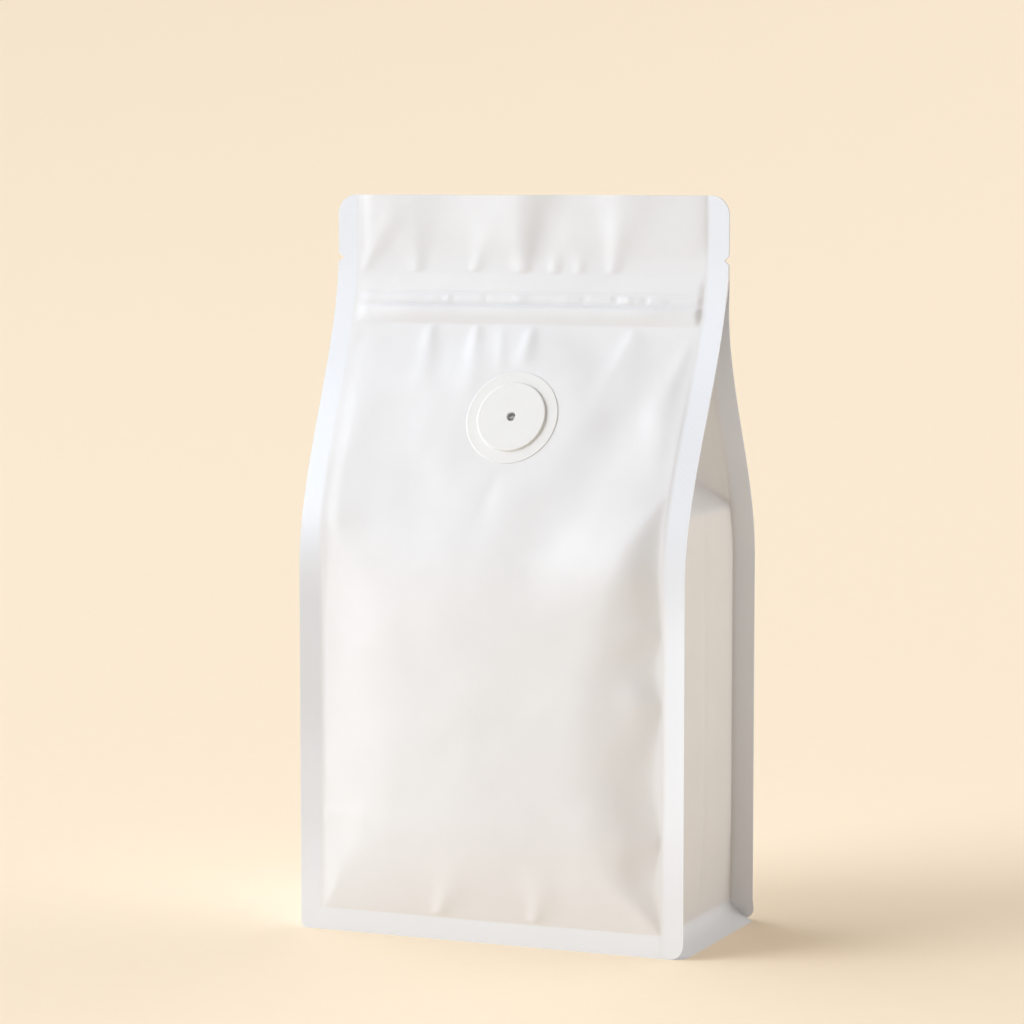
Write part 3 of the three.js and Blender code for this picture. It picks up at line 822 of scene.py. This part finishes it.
def skirt_outline(hand, q):
    """One side of the foot, from the front (-1) to the back (1). The corners take half of that."""
    corner = FOOT_CORNER[hand]
    straight = BASE_DEPTH / 2 - corner
    turn = np.clip(np.abs(q) - 0.5, 0, None) * math.pi
    along = straight * np.minimum(1, 2 * np.abs(q)) + corner * np.sin(turn)
    return LOWER_WIDTH / 2 - corner + corner * np.cos(turn), np.sign(q) * along


def gusset_points(hand, z):
    xs, ys = gusset_columns(hand, z)
    q = np.linspace(-1, 1, xs.shape[1] + 2)[None, 1:-1]
    tip = weld_line(FRONT, hand, z)[2]
    open_share = ramp(z, SLIT_SHUT, SLIT_OPEN)
    xs = mix(tip + EDGE_ROUND * (1 - q**2), xs, open_share)
    ys = mix(q * TOP_THICKNESS / 2, ys, open_share)
    floor_x, floor_y = skirt_outline(hand, q)
    xs = mix(xs, floor_x, skirt_share(z))
    ys = mix(ys, floor_y, skirt_share(z))
    return np.stack([hand * xs, ys, z + 0 * xs], -1)


right_points, left_points = gusset_points(RIGHT, ROWS), gusset_points(LEFT, ROWS)
print("gusset:", right_points.shape[0], "by", right_points.shape[1], "points")

# %% [markdown]
# ## The film: one closed surface
#
# The rows are now joined into one closed skin: front sheet, right gusset, back sheet, left gusset and round
# again. Four separate sheets would leave the fins open along their edges. At the foot the skin turns under to
# the bottom panel, which lies a little inside its welded rim. At the top the two sheets end as two thin edges
# with a narrow gap between them.

# %% Bottom panel
GROOVE_INSET, GROOVE_HEIGHT, PANEL_INSET = 5.0, 1.8, 11.0
UNDERSIDE = [  # inset from the rim and height, from the panel out
    (2 * PANEL_INSET, 0),
    (PANEL_INSET, 0),
    (GROOVE_INSET, GROOVE_HEIGHT),
    (FIN, 0),
]


def underside(rim):
    rows = []
    for inset, height in UNDERSIDE:
        shrink = np.array([1 - 2 * inset / LOWER_WIDTH, 1 - 2 * inset / BASE_DEPTH, 0])
        rows.append(rim * shrink + [0, 0, height])
    return np.array(rows)


print("underside:", len(UNDERSIDE), "rings inside the rim")

# %% Loft
FILM = 0.25  # thickness of one sheet
GAP_ROWS = 8  # rows of the grid that the gap between the sheets reaches down


def strip(a, b):
    """Quads between two rows of vertex numbers."""
    return np.stack([a[:-1], a[1:], b[1:], b[:-1]], -1).reshape(-1, 4).tolist()


def all_round(front, right, back, left):
    """Four sides in the order in which the film goes round."""
    return np.concatenate([front, right, back[:, ::-1], left[:, ::-1]], 1)


def loft(front, right, back, left):
    walls = all_round(front, right, back, left)
    grid = np.concatenate([underside(walls[0]), walls])
    rows, columns = grid.shape[:2]
    index = np.arange(rows * columns).reshape(rows, columns)
    after = np.roll(index, -1, 1)
    faces = np.stack([index[:-1], after[:-1], after[1:], index[1:]], -1).reshape(-1, 4).tolist()
    centre = rows * columns
    faces += [(centre, b, a) for a, b in zip(index[0].tolist(), after[0].tolist())]

    # The top edge: both ends are closed, and the welded fins are bridged.
    sheet_columns = front.shape[1]
    side_columns = right.shape[1]
    front_top = index[-1, :sheet_columns]
    right_top = index[-1, sheet_columns : sheet_columns + side_columns]
    back_top = index[-1, sheet_columns + side_columns : 2 * sheet_columns + side_columns][::-1]
    left_top = index[-1, 2 * sheet_columns + side_columns :]
    faces.append([front_top[-1], *right_top, back_top[-1]])
    faces.append([back_top[0], *left_top, front_top[0]])
    inside = slice(FIN_STEPS + 1, sheet_columns - FIN_STEPS - 1)
    outside = [slice(0, FIN_STEPS + 1), slice(sheet_columns - FIN_STEPS - 1, sheet_columns)]
    for end in outside:
        faces += strip(front_top[end], back_top[end])

    # The gap between the sheets: down the inside of the front, across, and up the inside of the back.
    inner = [front[-1], front[-GAP_ROWS], back[-GAP_ROWS], back[-1]]
    inner = [row[inside] + [0, turn * FILM, 0] for row, turn in zip(inner, (1, 1, -1, -1))]
    count = len(inner[0])
    first = centre + 1
    lips = first + np.arange(4 * count).reshape(4, count)
    for a, b in ((front_top[inside], lips[0]), (lips[0], lips[1]), (lips[1], lips[2]), (lips[2], lips[3])):
        faces += strip(a, b)
    faces += strip(lips[3], back_top[inside])
    for k, edge in ((0, FIN_STEPS), (-1, sheet_columns - FIN_STEPS - 1)):
        faces.append(lips[:, k].tolist())
        front_end = [front_top[edge], front_top[inside][k], lips[0, k]]
        back_end = [lips[3, k], back_top[inside][k], back_top[edge]]
        faces.append(front_end + back_end)
    points = [grid.reshape(-1, 3), [[0, 0, 0]], *inner]
    mesh = bpy.data.meshes.new("pouch_film")
    mesh.from_pydata((np.vstack(points) * MM).tolist(), [], faces)
    return mesh


film_mesh = loft(front_points, right_points, back_points, left_points)
print("film:", len(film_mesh.vertices), "points and", len(film_mesh.polygons), "faces")

# %% Faces outwards


def close_outwards(mesh):
    work = bmesh.new()
    work.from_mesh(mesh)
    bmesh.ops.recalc_face_normals(work, faces=work.faces)
    open_edges = sum(not edge.is_manifold for edge in work.edges)
    volume = work.calc_volume()
    work.to_mesh(mesh)
    work.free()
    return open_edges, volume


film_open, film_volume = close_outwards(film_mesh)
print(f"film: {film_open} open edges, {film_volume / MM**3 / 1000:.0f} ml inside")

# %% [markdown]
# ## The film: slack and welds
#
# Two things about the film change from place to place and matter later. Where a weld, the zip or the valve
# holds it, it is smooth, and elsewhere it is slack. Where two sheets are welded it has been pressed. Painting
# them by hand would do, but the rows and columns already know where they lie, so both are worked out and
# kept on the mesh as a number for each point, which Geometry Nodes and shaders can read by name.

# %% Slack of the sheets
SLACK_EASE = 9.0  # the crinkle grows to its full height over this distance from whatever holds the film
GUSSET_SLACK, GUSSET_SLACK_POWER = 0.7, 4


def slack_rows(z):
    below_zip = ramp(z, WELD, 3 * WELD) * ramp(z, ZIP_BOTTOM, ZIP_BOTTOM - SLACK_EASE)
    return below_zip + ramp(z, ZIP_FLANGE_TOP, ZIP_FLANGE_TOP + SLACK_EASE)


def sheet_slack(sheet, z):
    from_seam = (1 - np.abs(ACROSS)) * middle_root
    free = ramp(from_seam, 0, SLACK_EASE) * slack_rows(z)
    if sheet is FRONT:
        distance = from_valve(ACROSS * middle_root, z)
        free = free * ramp(distance, VALVE_FLANGE, VALVE_FLANGE + SLACK_EASE)
    fin = np.zeros((z.size, FIN_STEPS))
    return np.concatenate([fin, free, fin], 1)


def gusset_slack(z):
    across = np.linspace(-1, 1, GUSSET_STEPS + 1)[None, :]
    free = GUSSET_SLACK * (1 - across**GUSSET_SLACK_POWER) * slack_rows(z)
    free = free * ramp(z, SLIT_OPEN, SLIT_OPEN - 2 * SLACK_EASE)
    fin = np.zeros((z.size, GUSSET_FIN_STEPS))
    return np.concatenate([fin, free, fin], 1)


side_slack = gusset_slack(ROWS)
slack = all_round(sheet_slack(FRONT, ROWS), side_slack, sheet_slack(BACK, ROWS), side_slack)
print(f"slack: {np.mean(slack > 0):.0%} of the film is free to crinkle")

# %% Welds and notes on the mesh


def weld_columns(fin_steps, panel_columns):
    fin = np.ones(fin_steps)
    return np.concatenate([fin, np.zeros(panel_columns), fin])[None, :]


def film_welds(z):
    """1 where two sheets are welded face to face, 0 where the film is single."""
    sheet = weld_columns(FIN_STEPS, ACROSS.size)
    side = weld_columns(GUSSET_FIN_STEPS, GUSSET_STEPS + 1)
    return np.maximum(all_round(sheet, side, sheet, side), np.where(z < WELD, 1, 0))


def note_on_points(mesh, name, wall_values):
    """Keep one number for each point of the film, 0 on the underside and inside the top edge."""
    values = np.zeros(len(mesh.vertices))
    first = len(UNDERSIDE) * wall_values.shape[1]
    values[first : first + wall_values.size] = wall_values.ravel()
    mesh.attributes.new(name, "FLOAT", "POINT").data.foreach_set("value", values)


note_on_points(film_mesh, "slack", slack)
note_on_points(film_mesh, "weld", film_welds(ROWS))
print("numbers on the film:", [note for note in ("slack", "weld") if note in film_mesh.attributes])

# %% [markdown]
# ## The film's finish
#
# The film is three layers glued together: a matt polyester outside, a barrier, and a polyethylene that
# seals when it is heated. The outside is white, dull and very slightly pebbled, so light spreads over it
# without a sharp highlight. A sealing bar has pressed the welded bands, which leaves them a little smoother,
# with a faint cloth mark. Their cooler, bluish white is a painted reflection. The shader reads the welds
# from the numbers kept on the mesh.

# %% Laminate film
# The welds' cooler, bluish white is a painted reflection.
FILM_WHITE, FILM_GREY, WELD_PAINTED_REFLECTION = "#e6e6e8", "#e0e0e2", "#e5e8ee"
GRAIN = 0.8  # the real pebble is about 0.1 mm, drawn coarser so that it shows
CLOUDING = 16.0  # soft changes of tone where the laminate's glue is thicker
BAR_MARK = 2.6  # spacing along an edge of the sealing bar's diagonal cloth mark
WELD_SMOOTHER = 0.08  # roughness that the bar pressed out of the welds
GRAIN_HEIGHT, BAR_MARK_HEIGHT = 0.06, 0.05


def laminate_film():
    # Matt polyester over white ink: an even white, no mirror reflection, a soft sheen at low angles.
    material, tree = new_material("matt_polyester_laminate")
    place = node(tree, "ShaderNodeTexCoord").outputs["Object"]
    weld = node(tree, "ShaderNodeAttribute", attribute_name="weld").outputs["Fac"]
    clouds = {"Vector": place, "Scale": noise_scale(CLOUDING), "Detail": 4, "Roughness": 0.6}
    clouds = node(tree, "ShaderNodeTexNoise", clouds).outputs["Fac"]
    grain = {"Vector": place, "Scale": noise_scale(GRAIN), "Detail": 3, "Roughness": 0.7}
    grain = node(tree, "ShaderNodeTexNoise", grain).outputs["Fac"]
    # Diagonal bands lie twice as far apart along an edge as level ones of the same scale.
    ribs = {"Vector": place, "Scale": wave_scale(BAR_MARK / 2), "Distortion": 0.4}
    ribs = node(tree, "ShaderNodeTexWave", ribs, bands_direction="DIAGONAL").outputs["Fac"]
    shade = {"Factor": clouds, "A": linear(FILM_WHITE), "B": linear(FILM_GREY)}
    shade = node(tree, "ShaderNodeMix", shade, data_type="RGBA").outputs["Result"]
    # The welds take the bluish white of a painted reflection.
    tone = {"Factor": weld, "A": shade, "B": linear(WELD_PAINTED_REFLECTION)}
    tone = node(tree, "ShaderNodeMix", tone, data_type="RGBA").outputs["Result"]
    dull = {"Value": clouds, "From Min": 0.3, "From Max": 0.7, "To Min": 0.48, "To Max": 0.6}
    dull = node(tree, "ShaderNodeMapRange", dull).outputs["Result"]
    press = {0: weld, 1: -WELD_SMOOTHER, 2: dull}
    rough = node(tree, "ShaderNodeMath", press, operation="MULTIPLY_ADD").outputs["Value"]
    mark = node(tree, "ShaderNodeMath", {0: weld, 1: ribs}, operation="MULTIPLY").outputs["Value"]
    pebble = {"Height": grain, "Strength": 0.12, "Distance": GRAIN_HEIGHT * MM}
    pebble = node(tree, "ShaderNodeBump", pebble).outputs["Normal"]
    pressed = {"Height": mark, "Strength": 0.12, "Distance": BAR_MARK_HEIGHT * MM, "Normal": pebble}
    pressed = node(tree, "ShaderNodeBump", pressed).outputs["Normal"]
    skin = {"Base Color": tone, "Roughness": rough, "Normal": pressed, "IOR": 1.45, "Sheen Weight": 0.04}
    skin = node(tree, "ShaderNodeBsdfPrincipled", skin)
    node(tree, "ShaderNodeOutputMaterial", {"Surface": skin.outputs["BSDF"]})
    return material


print("film grain", GRAIN, "mm, clouding", CLOUDING, "mm")

# %% [markdown]
# ## Crinkle of the film
#
# No filled bag is perfectly smooth. Where the film hangs free it has a soft, uneven crinkle, and where a
# weld, the zip or the valve holds it there is none. A bump map would only shade that. Geometry Nodes push
# each point out along its normal by a noise, times the slack that was kept on the mesh, so the crinkle is in
# the mesh itself and shows from every side.

# %% Crinkle tree
NOISE_MIDDLE = 0.5  # a noise goes from 0 to 1, and taking this off lets it push both ways


def add_input(tree, name, kind):
    return tree.interface.new_socket(name, in_out="INPUT", socket_type=kind).identifier


def crinkle_tree():
    tree = bpy.data.node_groups.new("film_crinkle", "GeometryNodeTree")
    add_input(tree, "Film", "NodeSocketGeometry")
    sizes = ("Wide crinkle", "Wide height", "Fine crinkle", "Fine height", "Seed")
    inputs = {name: add_input(tree, name, "NodeSocketFloat") for name in sizes}
    inputs["Material"] = add_input(tree, "Material", "NodeSocketMaterial")
    tree.interface.new_socket("Crinkled film", in_out="OUTPUT", socket_type="NodeSocketGeometry")
    given = node(tree, "NodeGroupInput").outputs
    slack = node(tree, "GeometryNodeInputNamedAttribute", {"Name": "slack"}, data_type="FLOAT")
    push = 0.0
    for size, height in (("Wide crinkle", "Wide height"), ("Fine crinkle", "Fine height")):
        scale = node(tree, "ShaderNodeMath", {0: 1.0, 1: given[size]}, operation="DIVIDE").outputs["Value"]
        wave = {"W": given["Seed"], "Scale": scale, "Detail": 1}
        wave = node(tree, "ShaderNodeTexNoise", wave, noise_dimensions="4D").outputs["Fac"]
        centring = {0: wave, 1: NOISE_MIDDLE}
        centred = node(tree, "ShaderNodeMath", centring, operation="SUBTRACT").outputs["Value"]
        push = {0: centred, 1: given[height], 2: push}
        push = node(tree, "ShaderNodeMath", push, operation="MULTIPLY_ADD").outputs["Value"]
    push = {0: push, 1: slack.outputs["Attribute"]}
    push = node(tree, "ShaderNodeMath", push, operation="MULTIPLY").outputs["Value"]
    normal = node(tree, "GeometryNodeInputNormal").outputs["Normal"]
    offset = node(tree, "ShaderNodeVectorMath", {0: normal, "Scale": push}, operation="SCALE")
    moved = {"Geometry": given["Film"], "Offset": offset.outputs["Vector"]}
    moved = node(tree, "GeometryNodeSetPosition", moved)
    real = node(tree, "GeometryNodeRealizeInstances", {"Geometry": moved.outputs["Geometry"]})
    finish = {"Geometry": real.outputs["Geometry"], "Material": given["Material"]}
    finish = node(tree, "GeometryNodeSetMaterial", finish)
    node(tree, "NodeGroupOutput", {"Crinkled film": finish.outputs["Geometry"]})
    return tree, inputs


crinkle, crinkle_inputs = crinkle_tree()
print("crinkle tree:", len(crinkle.nodes), "nodes, inputs", list(crinkle_inputs))

# %% Crinkle the film
WIDE_CRINKLE, WIDE_HEIGHT = 19.0, 0.7  # size across and height
FINE_CRINKLE, FINE_HEIGHT = 6.5, 0.1
CRINKLE_SEED = 4.0
FILM_SHARP = math.radians(50)  # edges that turn more than this stay crisp


def grown(name, base_mesh, tree, values):
    """Run a node tree on a mesh and keep the result as a plain mesh object."""
    source = link(name, base_mesh)
    modifier = source.modifiers.new("grow", "NODES")
    modifier.node_group = tree
    for identifier, value in values.items():
        modifier[identifier] = value
    evaluated = source.evaluated_get(bpy.context.evaluated_depsgraph_get())
    result = bpy.data.meshes.new_from_object(evaluated)
    source.modifiers.remove(modifier)
    source.data = result
    result.name = name
    return source


film_mesh.shade_smooth()
film = grown(
    "pouch_film",
    film_mesh,
    crinkle,
    {
        crinkle_inputs["Wide crinkle"]: WIDE_CRINKLE * MM,
        crinkle_inputs["Wide height"]: WIDE_HEIGHT * MM,
        crinkle_inputs["Fine crinkle"]: FINE_CRINKLE * MM,
        crinkle_inputs["Fine height"]: FINE_HEIGHT * MM,
        crinkle_inputs["Seed"]: CRINKLE_SEED,
        crinkle_inputs["Material"]: laminate_film(),
    },
)
film.data.set_sharp_from_angle(angle=FILM_SHARP)
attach(film, "root")
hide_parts("pouch")
print("crinkled film:", len(film.data.vertices), "points,", [m.name for m in film.data.materials])

# %% [markdown]
# ## The valve
#
# A one-way valve is a moulded disc: a thin flange, a low raised button with rounded edges, and a pin hole
# through which gas leaves. Everything about it is round, so it is drawn as one half-profile, with its edges
# as arcs, and turned about its axis in the next step.

# %% Valve profile
VALVE_BUTTON, VALVE_HOLE = 11.1, 1.4  # radii
VALVE_SUNK, FLANGE_TOP, BUTTON_TOP, HOLE_FLOOR = -0.6, 0.25, 1.0, 0.0  # heights above the seat
FLANGE_ROUND, BUTTON_FILLET, BUTTON_ROUND, HOLE_ROUND = 0.25, 0.15, 0.35, 0.15  # radii of the edges
ARC_STEPS = 6
HOLD = 0.1  # a ring of points this close to a rounding keeps the flat beyond it flat


def arc(centre, radius, start, end):
    turn = np.radians(np.linspace(start, end, ARC_STEPS + 1))
    return [(centre[0] + radius * math.cos(t), centre[1] + radius * math.sin(t)) for t in turn]


def valve_profile():
    """Distance from the axis and height, from the underside's middle round to the hole's floor."""
    profile = [(0, VALVE_SUNK), (VALVE_FLANGE, VALVE_SUNK)]
    profile += arc((VALVE_FLANGE - FLANGE_ROUND, FLANGE_TOP - FLANGE_ROUND), FLANGE_ROUND, 0, 90)
    fillet = (VALVE_BUTTON + BUTTON_FILLET, FLANGE_TOP + BUTTON_FILLET)
    profile += [(VALVE_FLANGE - FLANGE_ROUND - HOLD, FLANGE_TOP), (fillet[0] + HOLD, FLANGE_TOP)]
    profile += arc(fillet, BUTTON_FILLET, 270, 180)
    rim = (VALVE_BUTTON - BUTTON_ROUND, BUTTON_TOP - BUTTON_ROUND)
    mouth = (VALVE_HOLE + HOLE_ROUND, BUTTON_TOP - HOLE_ROUND)
    profile += arc(rim, BUTTON_ROUND, 0, 90)
    profile += [(rim[0] - HOLD, BUTTON_TOP), (mouth[0] + HOLD, BUTTON_TOP)]
    profile += arc(mouth, HOLE_ROUND, 90, 180)
    return profile + [(VALVE_HOLE, HOLE_FLOOR), (0, HOLE_FLOOR)]


def profile_mesh(name, profile):
    mesh = bpy.data.meshes.new(name)
    points = [(r * MM, h * MM, 0) for r, h in profile]
    mesh.from_pydata(points, [(i, i + 1) for i in range(len(points) - 1)], [])
    return mesh


print("valve profile:", len(valve_profile()), "points")

# %% [markdown]
# ## Turning the valve
#
# A Screw modifier also turns a profile, and so would a loop over angles. A small node tree does it with
# three nodes that are useful elsewhere: Mesh to Curve, Curve Circle and Curve to Mesh. The profile is swept
# along the circle, and the points that meet on the axis are merged. The number of sides, the radius of the
# circle and the material are inputs.

# %% Lathe tree
MERGE = 0.002  # points of the profile this close together, as on the axis, become one


def lathe_tree():
    tree = bpy.data.node_groups.new("lathe", "GeometryNodeTree")
    add_input(tree, "Profile", "NodeSocketGeometry")
    inputs = {
        "Sides": add_input(tree, "Sides", "NodeSocketInt"),
        "Radius": add_input(tree, "Radius", "NodeSocketFloat"),
        "Material": add_input(tree, "Material", "NodeSocketMaterial"),
    }
    tree.interface.new_socket("Turned piece", in_out="OUTPUT", socket_type="NodeSocketGeometry")
    given = node(tree, "NodeGroupInput").outputs
    circle = {"Resolution": given["Sides"], "Radius": given["Radius"]}
    circle = node(tree, "GeometryNodeCurvePrimitiveCircle", circle)
    profile = node(tree, "GeometryNodeMeshToCurve", {"Mesh": given["Profile"]})
    turned = {"Curve": circle.outputs["Curve"], "Profile Curve": profile.outputs["Curve"]}
    turned = node(tree, "GeometryNodeCurveToMesh", turned)
    merged = {"Geometry": turned.outputs["Mesh"], "Distance": MERGE * MM}
    merged = node(tree, "GeometryNodeMergeByDistance", merged)
    real = node(tree, "GeometryNodeRealizeInstances", {"Geometry": merged.outputs["Geometry"]})
    finish = {"Geometry": real.outputs["Geometry"], "Material": given["Material"]}
    finish = node(tree, "GeometryNodeSetMaterial", finish)
    node(tree, "NodeGroupOutput", {"Turned piece": finish.outputs["Geometry"]})
    return tree, inputs


lathe, lathe_inputs = lathe_tree()
print("lathe tree:", len(lathe.nodes), "nodes, inputs", list(lathe_inputs))

# %% [markdown]
# ## The valve's finish
#
# The valve is injection moulded from soft polyethylene, so it is a little waxier and shinier than the film
# round it. Up close it has faint rings from the turned insert of its mould. A wave texture in rings about the
# valve's axis draws them, and a Mapping node moves the pattern's middle to the valve.

# %% Moulded polyethylene
VALVE_WHITE, VALVE_SHADE = "#e6e6e5", "#e1e1e0"
FLOW_MARK = 6.0  # size of the soft changes of tone where the melt flowed
TURNING_MARK, TURNING_HEIGHT = 0.7, 0.03  # spacing and height of the rings
VALVE_MIDDLE = Vector((VALVE_PLACE[0], -SEAT_OUT, VALVE_PLACE[1])) * MM


def moulded_polyethylene():
    # White low-density polyethylene from a polished mould: waxy, with a softer and wider highlight than
    # hard plastic, and the faint turning marks of the mould's insert.
    material, tree = new_material("moulded_white_polyethylene")
    place = node(tree, "ShaderNodeTexCoord").outputs["Object"]
    around = {"Vector": place, "Location": -VALVE_MIDDLE}
    around = node(tree, "ShaderNodeMapping", around).outputs["Vector"]
    flow = {"Vector": around, "Scale": noise_scale(FLOW_MARK), "Detail": 3}
    flow = node(tree, "ShaderNodeTexNoise", flow).outputs["Fac"]
    rings = {"Vector": around, "Scale": wave_scale(TURNING_MARK), "Distortion": 0.5}
    rings = node(tree, "ShaderNodeTexWave", rings, wave_type="RINGS", rings_direction="Y").outputs["Fac"]
    tone = {"Factor": flow, "A": linear(VALVE_WHITE), "B": linear(VALVE_SHADE)}
    tone = node(tree, "ShaderNodeMix", tone, data_type="RGBA").outputs["Result"]
    dull = {"Value": flow, "From Min": 0.3, "From Max": 0.7, "To Min": 0.36, "To Max": 0.46}
    dull = node(tree, "ShaderNodeMapRange", dull).outputs["Result"]
    marks = {"Height": rings, "Strength": 0.08, "Distance": TURNING_HEIGHT * MM}
    marks = node(tree, "ShaderNodeBump", marks).outputs["Normal"]
    skin = {"Base Color": tone, "Roughness": dull, "Normal": marks, "IOR": 1.51}
    skin = node(tree, "ShaderNodeBsdfPrincipled", skin)
    node(tree, "ShaderNodeOutputMaterial", {"Surface": skin.outputs["BSDF"]})
    return material


print("valve rings", TURNING_MARK, "mm apart")

# %% [markdown]
# ## Seating the valve
#
# The valve is turned at the origin, facing up. A matrix whose columns are the seat's own directions lays it
# on the seat, and it is applied to the mesh, so the object itself stays at the origin like the film.
# The disc is sunk a little into the film, so no gap shows under its rim.

# %% Valve on its seat
VALVE_SIDES = 128
VALVE_SHARP = math.radians(40)


def seat_matrix():
    out = Vector((0, -math.cos(SEAT_LEAN), math.sin(SEAT_LEAN)))
    up = Vector((0, math.sin(SEAT_LEAN), math.cos(SEAT_LEAN)))
    turn = Matrix((Vector((1, 0, 0)), up, out)).transposed().to_4x4()
    return Matrix.Translation(VALVE_MIDDLE) @ turn


offset_profile = [(r - VALVE_FLANGE, -h) for r, h in valve_profile()]
valve = grown(
    "valve_body",
    profile_mesh("valve_profile", offset_profile),
    lathe,
    {
        lathe_inputs["Sides"]: VALVE_SIDES,
        lathe_inputs["Radius"]: VALVE_FLANGE * MM,
        lathe_inputs["Material"]: moulded_polyethylene(),
    },
)
valve.data.transform(seat_matrix())
valve_open, valve_volume = close_outwards(valve.data)
print(f"valve: {valve_open} open edges, {valve_volume / MM**3:.0f} cubic millimetres")
valve.data.shade_smooth()
valve.data.set_sharp_from_angle(angle=VALVE_SHARP)
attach(valve, "root")
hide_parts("valve")

# %% [markdown]
# ## The finished pouch
#
# The film and the valve now take the place of the solid's pouch and valve, which are hidden.

# %% Finish
print("pouch film and valve made")
